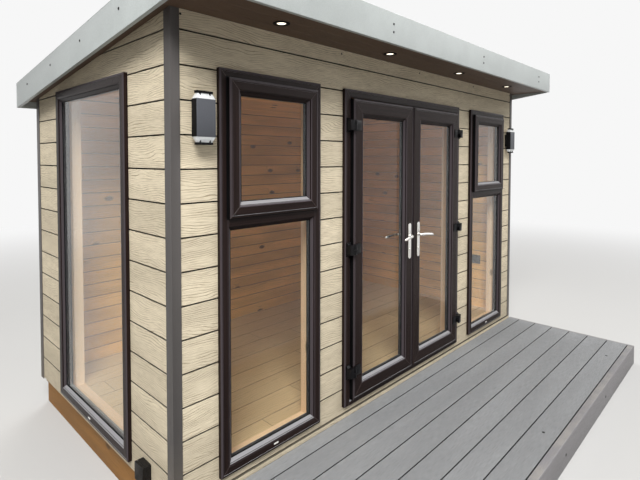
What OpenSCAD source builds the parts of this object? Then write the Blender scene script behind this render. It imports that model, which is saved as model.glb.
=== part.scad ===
// Garden office pod: an insulated room under a single-pitch roof, with outward French
// doors, full-height windows and a raised deck along its front.
// Units are millimetres. Z is up, X runs along the front and the front faces -Y.
// The origin is on the ground, in the middle of the plan.
// Inside pod() the front face of the cladding is y = 0.

/* [Building] */
// Width over the cladding
pod_w = 3620; // [3450:10:5000]
// Depth over the cladding
pod_d = 1870; // [1600:10:3600]
// Height of the front wall between its frames and the soffit
head_h = 224; // [180:1:420]
// Thickness of the insulated wall panels
wall_t = 95; // [75:5:140]
// Thickness of the cladding boards
clad_t = 22; // [18:1:30]
// How far the cladding hangs below the floor
clad_cover = 50; // [30:1:60]
// Thickness of the pine lining
lining_t = 12; // [8:1:18]
// Width of a corner trim on the front and back
trim_front_w = 40; // [25:1:60]
// Width of a corner trim on the sides
trim_side_w = 50; // [25:1:70]
// How far a corner trim stands off the cladding
trim_t = 4; // [2:0.5:8]
// How far the starter strip stands off the cladding
starter_proud = 6; // [2:1:12]

/* [Base] */
// Height of the base joists
base_h = 145; // [120:5:170]
// Distance of the base joists inside the cladding's face
base_inset = 30; // [24:1:60]
// Thickness of a timber joist
joist_t = 45; // [38:1:60]
// Number of bays between the base joists
base_bays = 9; // [9:1:14]
// Thickness of the insulated floor panel
floor_t = 80; // [60:5:120]
// Thickness of the floor boards in the room
floor_board_t = 10; // [6:1:16]

/* [Roof] */
// Slope of the roof, falling to the back, in degrees
roof_pitch = 7; // [3:0.5:8]
// Height of the insulated roof panel, measured upright
roof_t = 107; // [70:1:150]
// Thickness of the roof covering
cover_t = 4; // [2:1:8]
// Overhang in front of the cladding
front_overhang = 320; // [220:10:420]
// Overhang beside the cladding
side_overhang = 100; // [60:5:160]
// Overhang behind the cladding
rear_overhang = 100; // [60:5:160]
// Thickness of a fascia
fascia_t = 20; // [14:1:28]
// How far a fascia hangs below the front soffit
fascia_drop = 5; // [2:1:20]
// Width of the capping that folds over the roof
capping_w = 60; // [35:5:100]
// Thickness of the capping
capping_t = 3; // [2:0.5:5]
// Thickness of the soffit boards
soffit_t = 12; // [9:1:18]

/* [Deck] */
// Depth of the deck in front of the cladding
deck_d = 1050; // [700:10:1800]
// Height of the room's floor above the deck
deck_step = 75; // [72:1:90]
// How far the deck runs past the side walls
deck_side = 40; // [20:5:60]
// Width of a deck board
deck_board_w = 145; // [110:5:180]
// Thickness of a deck board
deck_board_t = 23; // [18:1:30]
// Gap between deck boards
deck_gap = 5.5; // [3:0.5:8]
// Gap between the deck and the wall
deck_wall_gap = 2; // [1:1:5]
// Width of the edging on top of the deck
edging_w = 43; // [30:1:60]
// Thickness of the upright deck fascia
deck_fascia_t = 20; // [14:1:26]
// Number of bays between the deck joists
deck_bays = 10; // [10:1:14]

/* [Windows] */
// Height of every window and door frame
frame_h = 1918; // [1800:1:2150]
// Width of a front window
window_w = 668; // [560:1:720]
// Width of the wall between the doors and a front window
pier_w = 207; // [160:1:240]
// Width of the side window
side_window_w = 998; // [700:1:1200]
// Distance of the side window's middle behind the front
side_window_y = 916; // [880:1:950]
// Visible width of a frame
frame_face = 50; // [44:1:60]
// Depth of a frame
frame_depth = 70; // [64:1:76]
// How far a frame stands off the cladding
frame_proud = 22; // [16:1:26]
// Height of the opening sash in a front window
sash_h = 653; // [450:1:900]
// Height of the transom under an opening sash
transom_h = 48; // [40:1:70]
// Width of a sash bar beside its bead
sash_face = 57; // [52:1:65]
// How far a sash or a door leaf stands off its frame
sash_proud = 22; // [18:1:26]
// How far a sash laps over its frame
sash_lap = 8; // [5:1:12]
// Clear space between a sash and the inside of its frame
sash_gap = 12; // [8:1:16]
// Width of a glazing bead
bead_w = 18; // [14:1:22]
// How far a glazing bead rises from the glass
bead_rise = 14; // [10:1:18]
// Depth of the glass behind the face of its frame
glass_set = 22; // [19:1:25]
// Thickness of a sealed glass unit
glass_t = 24; // [20:1:26]
// Depth of the slot that holds the glass
glass_slot = 10; // [7:1:12]
// Depth of the lip behind the glass
lip_d = 10; // [7:1:12]
// Bevel along the edges of a frame or sash
bevel = 3; // [1:0.5:4]
// Width of the slope along a frame's outer edge
edge_slope = 10; // [6:1:14]
// Thickness of the pine reveal boards
reveal_t = 15; // [10:1:20]

/* [Doors] */
// Width of the door frame
door_w = 1414; // [1300:1:1600]
// Height of the door threshold
threshold_h = 28; // [20:1:40]
// Width of the stop inside the door frame
stop_w = 12; // [8:1:14]
// Depth of that stop
stop_d = 28; // [22:1:34]
// Space between the stop and a closed leaf
stop_gap = 8; // [6:1:10]
// Width of a door stile beside its bead
stile_w = 87; // [80:1:100]
// Gap between a leaf and the frame
leaf_gap = 7; // [6:0.5:10]
// Gap between the two leaves
meeting_gap = 8; // [7.5:0.5:12]
// Width of the meeting strip on the right leaf
meeting_w = 22; // [16:1:28]
// Thickness of the meeting strip
meeting_t = 3; // [2:0.5:5]
// Width of the step round a leaf's inner half
leaf_step = 12; // [10:1:16]
// Depth of that step
leaf_step_d = 22; // [16:1:26]
// Distance of the hinge pins in front of a leaf's face
pin_off = 16; // [14:1:20]
// Height of a hinge's foot on the frame
hinge_h = 83; // [74:1:100]
// Distance of the outer hinges from a leaf's ends
hinge_end = 168; // [120:1:240]
// How far the hinges sit above an even spacing
hinge_rise = 10; // [0:1:30]
// Reach of a hinge flag from the pin
flag_w = 70; // [56:1:76]
// Height of a hinge's flag and barrel
flag_h = 60; // [48:1:66]
// Thickness of a hinge flag
flag_t = 6; // [4:0.5:8]
// Width of the hinge block on the frame
hinge_block_w = 28; // [24:1:36]
// Diameter of a hinge pin
pin_dia = 10; // [8:1:12]
// Diameter of a hinge barrel
barrel_dia = 18; // [16:1:22]
// Height of the lever above the lower edge of its leaf
lever_up = 935; // [800:1:1100]
// Distance of the lever's spindle from the leaf's edge
backset = 51; // [46:1:56]
// Reach of a lever from its spindle
lever_len = 126; // [90:1:150]
// How far a lever's tip droops below its spindle
lever_droop = 9; // [0:1:20]
// Angle in degrees by which a lever leans away from its door
lever_lean = 7; // [0:0.5:10]
// Diameter of a lever's neck
neck_dia = 20; // [16:1:22]
// Distance of a lever's grip from its backplate
grip_off = 30; // [26:1:50]
// Thickness of a lever's grip
grip_t = 11; // [8:1:14]
// Height of a handle's backplate
plate_h = 246; // [220:1:280]
// Distance of the backplate's middle below the lever
plate_drop = 35; // [20:1:45]
// Width of a handle's backplate
plate_w = 32; // [28:1:40]
// Thickness of a handle's backplate
plate_t = 9; // [6:1:12]
// Distance of the lock below the lever
lock_drop = 92; // [72:1:96]

/* [Fittings] */
// Distance between neighbouring downlights
downlight_pitch = 880; // [600:10:1000]
// Distance of the downlights in front of the cladding
downlight_y = 150; // [100:5:170]
// Diameter of a downlight's bezel
downlight_dia = 82; // [70:1:110]
// Width of a downlight's bezel
bezel_w = 19; // [12:1:24]
// Width of a wall light
light_w = 98; // [80:1:110]
// Depth of a wall light's body
light_d = 42; // [34:1:60]
// Overall height of a wall light
light_h = 234; // [200:1:260]
// Height of the lamp gap between the body and a cap
light_gap = 25; // [16:1:30]
// Thickness of a wall light's cap
light_cap_t = 10; // [6:1:14]
// How far a wall light's cap stands in from its body
light_cap_in = 8; // [4:0.5:9.5]
// Distance of a wall light's body from the cladding
light_off = 20; // [12:1:30]
// Distance of a wall light's middle below the top of the frames
light_drop = 239; // [160:1:500]
// How far the right wall light sits towards its corner
light_shift = 22; // [0:1:26]
// Size of the cable box's face
cable_box_w = 86; // [70:1:100]
// Depth of the cable box
cable_box_d = 42; // [30:1:60]
// Distance of the cable box's middle behind the front
cable_box_y = 254; // [150:1:300]
// Height of the cable box's middle above the floor
cable_box_up = 35; // [20:1:120]
// Size of the wall socket's face
socket_w = 86; // [70:1:120]
// Thickness of the wall socket
socket_t = 9; // [6:1:14]
// Distance of the socket's middle behind the front
socket_y = 283; // [240:1:1000]
// Height of the socket's middle above the floor
socket_up = 490; // [300:1:700]

/* [Hidden] */
$fn = 48;

// Clearances: a timber or glass seat, a sloping joint under the roof, a turning fit,
// and how far a cutting shape runs past what it cuts
seat = 0.3;
slope_gap = 0.1;
turning_gap = 0.05;
past = 1;

half_w = pod_w / 2;
roof_back = pod_d + rear_overhang;
mid_y = (roof_back - deck_d) / 2;
slope = tan(roof_pitch);

floor_z = base_h + floor_t;
clad_z = floor_z - clad_cover;
head_z = floor_z + frame_h;
soffit_z = head_z + head_h;
deck_z = floor_z - deck_step;

core_in = clad_t + wall_t;
room_in = core_in + lining_t;

window_x = door_w / 2 + pier_w + window_w / 2;
frame_front = -frame_proud;
frame_back = frame_depth - frame_proud;
sash_front = frame_front - sash_proud;
fixed_glass_y = frame_front + glass_set;
sash_glass_y = sash_front + glass_set;

leaf_w = (door_w - 2 * frame_face - 2 * leaf_gap - meeting_gap) / 2;
leaf_x = door_w / 2 - frame_face - leaf_gap;
leaf_z = floor_z + threshold_h + leaf_gap;
leaf_h = head_z - frame_face - leaf_gap - leaf_z;
stop_y = frame_back - stop_d;
leaf_back = stop_y - stop_gap;
pin_x = leaf_x + leaf_gap / 2;
pin_y = sash_front - pin_off;
hinge_zs = [for (z = [hinge_end, leaf_h / 2, leaf_h - hinge_end]) leaf_z + z + hinge_rise];
spindle_x = meeting_gap / 2 + backset;
lever_z = leaf_z + lever_up;

// Height of the roof panel's underside at a distance behind the front
function roof_z(y) = soffit_z + soffit_t - y * slope;
// Height of the roof covering's top there
function top_z(y) = roof_z(y) + roof_t + cover_t;
// Height of a fascia's lower edge there
function drip_z(y) = soffit_z - fascia_drop - (y + front_overhang) * slope;

// Moves the pod from its front face to the middle of the plan
module pod() {
    translate([0, -mid_y, 0]) children();
}

// Mirrors to the left side where s is -1
module on_side(s) {
    mirror([s < 0 ? 1 : 0, 0, 0]) children();
}

module both_sides() {
    for (s = [-1, 1]) on_side(s) children();
}

// A box between two corners
module block(low, high) {
    translate(low) cube(high - low);
}

// A prism from x0 to x1 whose side outline is a polygon of [y, z] points
module side_prism(x0, x1, outline) {
    translate([x0, 0, 0]) rotate([90, 0, 90]) linear_extrude(x1 - x0) polygon(outline);
}

// A slab that follows the roof, between two heights over the panel's underside
module roof_slab(x0, x1, y0, y1, low, high) {
    side_prism(x0, x1, [
        [y0, roof_z(y0) + low], [y1, roof_z(y1) + low],
        [y1, roof_z(y1) + high], [y0, roof_z(y0) + high]
    ]);
}

// A wall from height z0 up to the roof panel, or a distance below it
module wall_block(x0, x1, y0, y1, z0, below = 0) {
    drop = below + slope_gap;
    side_prism(x0, x1, [
        [y0, z0], [y1, z0], [y1, roof_z(y1) - drop], [y0, roof_z(y0) - drop]
    ]);
}

// A rectangle with rounded corners, centred
module rounded_rect(w, h, r) {
    square([w - 2 * r, h], center = true);
    square([w, h - 2 * r], center = true);
    for (i = [-1, 1], j = [-1, 1]) translate([i * (w / 2 - r), j * (h / 2 - r)]) circle(r);
}

// A rectangular form along Y, centred on x = 0 and standing on z = 0. Its profile lists
// [y, distance] points from front to back: how far its four sides stand in from w by h.
module mitred(w, h, profile) {
    back = [for (i = [len(profile) - 1:-1:0]) profile[i]];
    intersection() {
        translate([0, 0, -past]) linear_extrude(h + 2 * past) polygon(concat(
            [for (p = profile) [w / 2 - p[1], p[0]]],
            [for (p = back) [p[1] - w / 2, p[0]]]
        ));
        side_prism(-w / 2 - past, w / 2 + past, concat(
            [for (p = profile) [p[0], p[1]]],
            [for (p = back) [p[0], h - p[1]]]
        ));
    }
}

// Profile of a hole through a frame, with a bevel along both faces
function plain_hole(front, back) = [
    [front - past, -bevel], [front, -bevel], [front + bevel, 0],
    [back - bevel, 0], [back, -bevel], [back + past, -bevel]
];

// Profile of a glazed hole: a sloping bead, the slot for the glass and a lip behind it
function glazed_hole(front, back, glass_y) = [
    [front - past, -bevel], [front, -bevel], [front + bevel, 0],
    [glass_y - bead_rise, 0], [glass_y - bevel, bead_w], [glass_y, bead_w],
    [glass_y, bead_w - glass_slot], [glass_y + glass_t, bead_w - glass_slot],
    [glass_y + glass_t, bead_w], [glass_y + glass_t + bevel, bead_w],
    [glass_y + glass_t + lip_d, bead_w / 2], [glass_y + glass_t + lip_d, 0],
    [back + past, 0]
];

// The sealed unit in a glazed hole of w by h
module pane(w, h, glass_y) {
    inset = bead_w - glass_slot + seat;
    block([-w / 2 + inset, glass_y, inset], [w / 2 - inset, glass_y + glass_t, h - inset]);
}

module at_front_windows() {
    for (s = [-1, 1]) translate([s * window_x, 0, floor_z]) children();
}

module at_side_window() {
    translate([-half_w, side_window_y, floor_z]) rotate([0, 0, -90]) children();
}

module at_doors() {
    translate([0, 0, floor_z]) children();
}

// A cutter for an opening, through the cladding, the wall and the lining
module opening(w) {
    block([-w / 2, -room_in, 0], [w / 2, 2 * room_in, frame_h]);
}

module openings() {
    at_front_windows() opening(window_w);
    at_side_window() opening(side_window_w);
    at_doors() opening(door_w);
}

// Joists between two long bearers, all of one height
module joist_grid(x0, x1, y0, y1, h, bays) {
    block([x0, y0, 0], [x1, y0 + joist_t, h]);
    block([x0, y1 - joist_t, 0], [x1, y1, h]);
    step = (x1 - x0 - joist_t) / bays;
    for (i = [0:bays]) {
        block([x0 + i * step, y0 + joist_t + seat, 0],
            [x0 + i * step + joist_t, y1 - joist_t - seat, h]);
    }
}

module base_frame() {
    side = half_w - base_inset;
    color("peru") pod() joist_grid(-side, side, base_inset, pod_d - base_inset, base_h, base_bays);
}

module floor_panel() {
    side = half_w - clad_t;
    color("peru") pod() block([-side, clad_t, base_h], [side, pod_d - clad_t, floor_z]);
}

module floor_boards() {
    top = floor_z + floor_board_t;
    side = half_w - room_in;
    doorway = door_w / 2 - reveal_t;
    color("burlywood") pod() {
        block([-side, room_in, floor_z], [side, pod_d - room_in, top]);
        block([-doorway, frame_back, floor_z], [doorway, room_in + past, top]);
    }
}

deck_half = half_w + deck_side;
deck_inner = deck_half - deck_fascia_t;
deck_joist_h = deck_z - deck_board_t;

module deck_frame() {
    color("peru") pod()
        joist_grid(-deck_inner, deck_inner, -deck_d + deck_fascia_t, base_inset, deck_joist_h, deck_bays);
}

// Full boards from the edging back, and a ripped one against the wall
module deck_boards() {
    first_y = -deck_d + edging_w + deck_gap;
    pitch = deck_board_w + deck_gap;
    last_y = -deck_wall_gap;
    side = deck_inner - seat;
    color("slategray") pod()
        for (y = [first_y:pitch:last_y - 2 * deck_board_t]) {
            block([-side, y, deck_joist_h], [side, min(y + deck_board_w, last_y), deck_z]);
        }
}

// Edging on top of the front, and an upright fascia on the front and both ends
module deck_fascia() {
    y0 = -deck_d;
    y1 = y0 + deck_fascia_t;
    y2 = y0 + edging_w;
    color("slategray") pod() {
        side_prism(-deck_half, deck_half, [
            [y0, 0], [y1, 0], [y1, deck_joist_h], [y2, deck_joist_h], [y2, deck_z],
            [y0 + bevel, deck_z], [y0, deck_z - bevel]
        ]);
        both_sides() {
            block([deck_inner, y1 + seat, 0], [deck_half, y2 + seat, deck_joist_h - seat]);
            block([deck_inner, y2 + seat, 0], [deck_half, -deck_wall_gap, deck_z]);
        }
    }
}

// Side walls run the whole depth, and the front and back walls stand between them
module side_wall() {
    wall_block(half_w - core_in, half_w - clad_t, clad_t, pod_d - clad_t, floor_z);
}

module left_wall() {
    color("burlywood") pod() difference() {
        on_side(-1) side_wall();
        at_side_window() opening(side_window_w);
    }
}

module right_wall() {
    color("burlywood") pod() side_wall();
}

module back_wall() {
    side = half_w - core_in;
    color("burlywood") pod() wall_block(-side, side, pod_d - core_in, pod_d - clad_t, floor_z);
}

// Uprights beside the windows and the doors
module front_wall_piers() {
    color("burlywood") pod() both_sides() {
        block([window_x + window_w / 2, clad_t, floor_z], [half_w - core_in, core_in, head_z]);
        block([door_w / 2, clad_t, floor_z], [window_x - window_w / 2, core_in, head_z]);
    }
}

module front_wall_header() {
    side = half_w - core_in;
    color("burlywood") pod() wall_block(-side, side, clad_t, core_in, head_z);
}

module side_cladding() {
    wall_block(half_w - clad_t, half_w, clad_t, pod_d - clad_t, clad_z);
}

module front_cladding() {
    color("tan") pod() difference() {
        wall_block(-half_w, half_w, 0, clad_t, clad_z);
        openings();
    }
}

module left_cladding() {
    color("tan") pod() difference() {
        on_side(-1) side_cladding();
        at_side_window() opening(side_window_w);
    }
}

module right_cladding() {
    color("tan") pod() side_cladding();
}

module back_cladding() {
    color("tan") pod() wall_block(-half_w, half_w, pod_d - clad_t, pod_d, clad_z);
}

// Angle trims over the four corners, cut to the slope of the soffit
module corner_trims() {
    outer = half_w + trim_t;
    inner = half_w - trim_front_w;
    rear = pod_d + trim_t;
    below = soffit_t + seat;
    front_below = below + slope * trim_t;
    color("dimgray") pod() both_sides() {
        wall_block(inner, outer, -trim_t, 0, clad_z, front_below);
        wall_block(half_w, outer, -trim_t, trim_side_w, clad_z, front_below);
        wall_block(inner, outer, pod_d, rear, clad_z, below);
        wall_block(half_w, outer, pod_d - trim_side_w, rear, clad_z, below);
    }
}

module starter_strip() {
    color("tan") pod() block([-half_w, -starter_proud, deck_z + seat], [half_w, clad_t, clad_z]);
}

module wall_lining() {
    outer = half_w - core_in;
    inner = half_w - room_in;
    color("sandybrown") pod() difference() {
        wall_block(-outer, outer, core_in, pod_d - core_in, floor_z, lining_t);
        block([-inner, room_in, floor_z - past], [inner, pod_d - room_in, soffit_z]);
        openings();
    }
}

module ceiling_lining() {
    side = half_w - core_in;
    color("sandybrown") pod()
        roof_slab(-side, side, core_in, pod_d - core_in, -lining_t, -slope_gap);
}

// Pine boards round the openings, from the frames to the face of the lining
module reveal(w, low_t) {
    difference() {
        block([-w / 2, frame_back, 0], [w / 2, room_in, frame_h]);
        block([-w / 2 + reveal_t, frame_back - past, low_t],
            [w / 2 - reveal_t, room_in + past, frame_h - reveal_t]);
    }
}

module reveal_linings() {
    color("wheat") pod() {
        at_front_windows() reveal(window_w, reveal_t);
        at_side_window() reveal(side_window_w, reveal_t);
        at_doors() reveal(door_w, -past);
    }
}

eaves_in = half_w + side_overhang - fascia_t;
eaves_out = eaves_in + fascia_t;
eaves_front = -front_overhang + fascia_t;
eaves_back = roof_back - fascia_t;

module roof_panel() {
    color("lightgray") pod() roof_slab(-eaves_in, eaves_in, eaves_front, eaves_back, 0, roof_t);
}

module roof_covering() {
    color("darkslategray") pod()
        roof_slab(-eaves_in, eaves_in, eaves_front, eaves_back, roof_t + slope_gap, roof_t + cover_t);
}

// Fascia along the front, with its capping folded back over the roof
module front_fascia() {
    y0 = -front_overhang;
    y2 = y0 + capping_w;
    base = slope_gap;
    top = slope_gap + capping_t;
    fold = capping_t / 2;
    color("silver") pod()
        side_prism(-eaves_out, eaves_out, [
            [y0 + fold, drip_z(y0)], [eaves_front, drip_z(y0)],
            [eaves_front, top_z(eaves_front) + base], [y2, top_z(y2) + base],
            [y2, top_z(y2) + top], [y0 + fold, top_z(y0 + fold) + top],
            [y0, top_z(y0) + top - fold], [y0, drip_z(y0) + fold]
        ]);
}

module rear_fascia() {
    y0 = roof_back;
    y2 = y0 - capping_w;
    base = slope_gap;
    top = slope_gap + capping_t;
    color("silver") pod()
        side_prism(-eaves_out, eaves_out, [
            [y0, drip_z(y0)], [y0, top_z(y0) + top], [y2, top_z(y2) + top],
            [y2, top_z(y2) + base], [eaves_back, top_z(eaves_back) + base],
            [eaves_back, drip_z(y0)]
        ]);
}

// Sloping fascias on the two sides, between the front one and the rear one
module side_fascias() {
    lap0 = -front_overhang + capping_w + seat;
    lap1 = roof_back - capping_w - seat;
    base = slope_gap;
    top = slope_gap + capping_t;
    color("silver") pod() both_sides() {
        side_prism(eaves_in, eaves_out, [
            [eaves_front, drip_z(eaves_front)], [eaves_back, drip_z(eaves_back)],
            [eaves_back, top_z(eaves_back)], [eaves_front, top_z(eaves_front)]
        ]);
        side_prism(eaves_out - capping_w, eaves_out, [
            [lap0, top_z(lap0) + base], [lap1, top_z(lap1) + base],
            [lap1, top_z(lap1) + top], [lap0, top_z(lap0) + top]
        ]);
    }
}

can_dia = downlight_dia - bezel_w;
bezel_t = 3;

module at_downlights() {
    for (i = [-1.5:1:1.5]) translate([i * downlight_pitch, -downlight_y, soffit_z]) children();
}

module front_soffit() {
    color("saddlebrown") pod() difference() {
        block([-eaves_in, eaves_front, soffit_z], [eaves_in, 0, soffit_z + soffit_t]);
        at_downlights() translate([0, 0, -past]) cylinder(h = soffit_t + 2 * past, d = can_dia);
    }
}

// Sloping soffit along both sides and the back, as one mitred band
module eaves_soffit() {
    color("saddlebrown") pod() difference() {
        roof_slab(-eaves_in, eaves_in, 0, eaves_back, -soffit_t, -slope_gap);
        block([-half_w, -past, 0], [half_w, pod_d, soffit_z + soffit_t]);
    }
}

// Recessed lamps: a bezel ring under the soffit and a can through it
module downlights() {
    color("black") pod() at_downlights() {
        difference() {
            translate([0, 0, -bezel_t]) cylinder(h = bezel_t, d = downlight_dia);
            translate([0, 0, -bezel_t - past])
                cylinder(h = bezel_t + 2 * past, d = downlight_dia - 2 * bezel_w);
        }
        cylinder(h = soffit_t + 4, d = can_dia - 2 * turning_gap);
    }
}

light_x = (half_w - trim_front_w + window_x + window_w / 2) / 2;
light_body_h = light_h - 2 * (light_gap + light_cap_t);
light_y = -light_off - light_d / 2;

module at_wall_lights() {
    for (x = [-light_x, light_x + light_shift]) translate([x, 0, head_z - light_drop]) children();
}

// The two slim posts under a cap, from z0 to z1 and wider by a gap all round
module light_posts(z0, z1, gap = 0) {
    post_dia = 8;
    post_y = light_y - light_d / 2 + light_cap_in + post_dia / 2;
    for (i = [-1, 1]) translate([i * light_w / 4, post_y, z0])
        cylinder(h = z1 - z0, d = post_dia + 2 * gap);
}

// Up and down lights: a wall bracket, a body and two caps held by slim posts
module wall_light_bodies() {
    color("dimgray") pod() at_wall_lights() {
        block([-light_w / 3, -light_off - past, -light_body_h / 3],
            [light_w / 3, 0, light_body_h / 3]);
        translate([0, light_y, -light_body_h / 2])
            linear_extrude(light_body_h) rounded_rect(light_w, light_d, 4);
        for (s = [0, 1]) mirror([0, 0, s]) {
            translate([0, light_y, light_h / 2 - light_cap_t]) linear_extrude(light_cap_t)
                rounded_rect(light_w - 2 * light_cap_in, light_d - 2 * light_cap_in, 4);
            light_posts(light_body_h / 2 - past, light_h / 2 - light_cap_t + past);
        }
    }
}

// Side outline of a lens on a body w wide: it spreads from under the cap to the body's edge
function lens_outline(w) = let (rim = 2, foot = w / 2 - rim, top = foot - light_cap_in - rim) [
    [-foot, 0], [foot, 0], [foot, rim], [top, light_gap], [-top, light_gap], [-foot, rim]
];

// Flared lenses between each body and its caps, bored for the posts
module wall_light_lenses() {
    color("white") pod() at_wall_lights() for (s = [0, 1]) mirror([0, 0, s]) difference() {
        translate([0, light_y, light_body_h / 2]) intersection() {
            side_prism(-light_w / 2, light_w / 2, lens_outline(light_d));
            rotate([0, 0, 90]) side_prism(-light_d / 2, light_d / 2, lens_outline(light_w));
        }
        light_posts(light_body_h / 2 - past, light_h / 2, seat);
    }
}

// Weatherproof box on the left wall: a base, a narrow seam and a lid
module cable_box() {
    r = 6;
    lid = cable_box_d / 3;
    seam = 3;
    color("black") pod()
        translate([-half_w, cable_box_y, floor_z + cable_box_up]) rotate([0, -90, 0]) {
            linear_extrude(cable_box_d - lid) rounded_rect(cable_box_w, cable_box_w, r);
            translate([0, 0, cable_box_d - lid - past])
                linear_extrude(seam + 2 * past)
                    rounded_rect(cable_box_w - 2 * seam, cable_box_w - 2 * seam, r);
            translate([0, 0, cable_box_d - lid + seam])
                linear_extrude(lid - seam) rounded_rect(cable_box_w, cable_box_w, r);
        }
}

module wall_socket() {
    color("dimgray") pod()
        translate([half_w - room_in, socket_y, floor_z + socket_up]) rotate([0, -90, 0])
            linear_extrude(socket_t) rounded_rect(socket_w, socket_w, 5);
}

// Outer edge of every frame, with a slope along its face
frame_outline = [[frame_front, edge_slope], [frame_front + bevel, 0], [frame_back, 0]];

sash_w = window_w - 2 * (frame_face - sash_lap);
sash_z = frame_h - frame_face + sash_lap - sash_h;
sash_back = sash_glass_y + glass_t + lip_d + bevel;
light_in_w = window_w - 2 * frame_face;
upper_z = sash_z + sash_lap;
lower_h = upper_z - transom_h - frame_face;
vent_w = sash_w - 2 * sash_face;
vent_h = sash_h - 2 * sash_face;

// Each front window: a fixed lower light, a transom and an open upper light for the sash
module front_window_frames() {
    color("#2b2422") pod() at_front_windows() difference() {
        mitred(window_w, frame_h, frame_outline);
        translate([0, 0, frame_face])
            mitred(light_in_w, lower_h, glazed_hole(frame_front, frame_back, fixed_glass_y));
        translate([0, 0, upper_z])
            mitred(light_in_w, frame_h - frame_face - upper_z, plain_hole(frame_front, frame_back));
    }
}

// Top-hung sashes that stand proud of the frames and lap over them
module vent_sashes() {
    step = sash_lap + sash_gap;
    outline = [
        [sash_front, bevel], [sash_front + bevel, 0], [frame_front, 0],
        [frame_front, step], [sash_back, step]
    ];
    color("#2b2422") pod() at_front_windows() translate([0, 0, sash_z]) difference() {
        mitred(sash_w, sash_h, outline);
        translate([0, 0, sash_face])
            mitred(vent_w, vent_h, glazed_hole(sash_front, sash_back, sash_glass_y));
    }
}

module front_window_glass() {
    color("lightblue", 0.4) pod() at_front_windows() {
        translate([0, 0, frame_face]) pane(light_in_w, lower_h, fixed_glass_y);
        translate([0, 0, sash_z + sash_face]) pane(vent_w, vent_h, sash_glass_y);
    }
}

side_light_w = side_window_w - 2 * frame_face;
side_light_h = frame_h - 2 * frame_face;

module side_window_frame() {
    color("#2b2422") pod() at_side_window() difference() {
        mitred(side_window_w, frame_h, frame_outline);
        translate([0, 0, frame_face]) mitred(side_light_w, side_light_h,
            glazed_hole(frame_front, frame_back, fixed_glass_y));
    }
}

module side_window_glass() {
    color("lightblue", 0.4) pod() at_side_window() translate([0, 0, frame_face])
        pane(side_light_w, side_light_h, fixed_glass_y);
}

// Door frame: jambs and head with an inner stop, over a low threshold
module door_frame() {
    hole = [
        [frame_front - past, -bevel], [frame_front, -bevel], [frame_front + bevel, 0],
        [stop_y, 0], [stop_y, stop_w], [frame_back + past, stop_w]
    ];
    below = frame_face;
    sill_side = door_w / 2 - frame_face / 2;
    color("#2b2422") pod() at_doors() {
        difference() {
            mitred(door_w, frame_h, frame_outline);
            translate([0, 0, -below])
                mitred(door_w - 2 * frame_face, frame_h + below - frame_face, hole);
        }
        side_prism(-sill_side, sill_side, [
            [frame_front, 0], [frame_front, threshold_h - 2 * bevel],
            [frame_front + 4 * bevel, threshold_h], [stop_y, threshold_h],
            [stop_y, threshold_h + stop_w], [frame_back, threshold_h + stop_w], [frame_back, 0]
        ]);
    }
}

// Places a hinge's parts on the pin axis of one side, with the leaf towards +X
module at_hinges(s) {
    for (z = hinge_zs) on_side(s) translate([pin_x, pin_y, z - hinge_h / 2])
        mirror([1, 0, 0]) children();
}

barrel_r = barrel_dia / 2;
barrel_gap = 1;
barrel_z = (hinge_h - flag_h) / 2;
barrel_half = flag_h / 2;
hinge_near = barrel_r + 5;
hinge_far = hinge_near + hinge_block_w;
hinge_nose = 4;

// Fixed half of a flag hinge: a tapered block on the frame, the lower barrel and the pin
module hinge_posts() {
    face = frame_front - pin_y;
    foot = face - flag_t;
    color("black") pod() for (s = [-1, 1]) at_hinges(s) {
        intersection() {
            linear_extrude(hinge_h) polygon([
                [-hinge_near, -hinge_nose], [-hinge_far + hinge_nose, 0], [-hinge_far, hinge_nose],
                [-hinge_far, face], [-hinge_near, face]
            ]);
            side_prism(-hinge_far - past, past - hinge_near, [
                [-hinge_nose - past, barrel_z], [foot - barrel_z, barrel_z], [foot, 0], [face, 0],
                [face, hinge_h], [foot, hinge_h], [foot - barrel_z, hinge_h - barrel_z],
                [-hinge_nose - past, hinge_h - barrel_z]
            ]);
        }
        block([-hinge_near - past, foot, 0], [-hinge_nose, face, hinge_h]);
        translate([0, 0, barrel_z]) {
            linear_extrude(barrel_half - barrel_gap) {
                circle(barrel_r);
                polygon([
                    [0, -barrel_r], [-hinge_near - past, -hinge_nose], [-hinge_near - past, face],
                    [-barrel_r + past, face], [-barrel_r + past, barrel_r], [0, barrel_r]
                ]);
            }
            cylinder(h = flag_h - 4 * barrel_gap, d = pin_dia);
        }
    }
}

// Moving half: the upper barrel, bored for the pin, and the flag on the leaf's face
module leaf_hinges(s) {
    edge = leaf_gap / 2 + past;
    flag_y = pin_off - flag_t;
    color("black") pod() at_hinges(s) translate([0, 0, barrel_z]) difference() {
        union() {
            linear_extrude(flag_h) polygon([
                [hinge_near, flag_y], [flag_w - 2 * bevel, flag_y + past],
                [flag_w, flag_y + bevel], [flag_w, pin_off], [hinge_near, pin_off]
            ]);
            translate([0, 0, barrel_half]) linear_extrude(barrel_half) {
                circle(barrel_r);
                polygon([
                    [0, -barrel_r], [barrel_r - past, -barrel_r + bevel],
                    [hinge_near + bevel, flag_y], [hinge_near + bevel, pin_off],
                    [edge, pin_off], [edge, barrel_r - 2 * past], [0, barrel_r]
                ]);
            }
        }
        translate([0, 0, -past])
            cylinder(h = flag_h - 2 * barrel_gap, d = pin_dia + 2 * turning_gap);
    }
}

light_w_door = leaf_w - 2 * stile_w;
light_h_door = leaf_h - 2 * stile_w;

module at_leaf(s) {
    translate([s * (leaf_x - leaf_w / 2), 0, leaf_z]) children();
}

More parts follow.
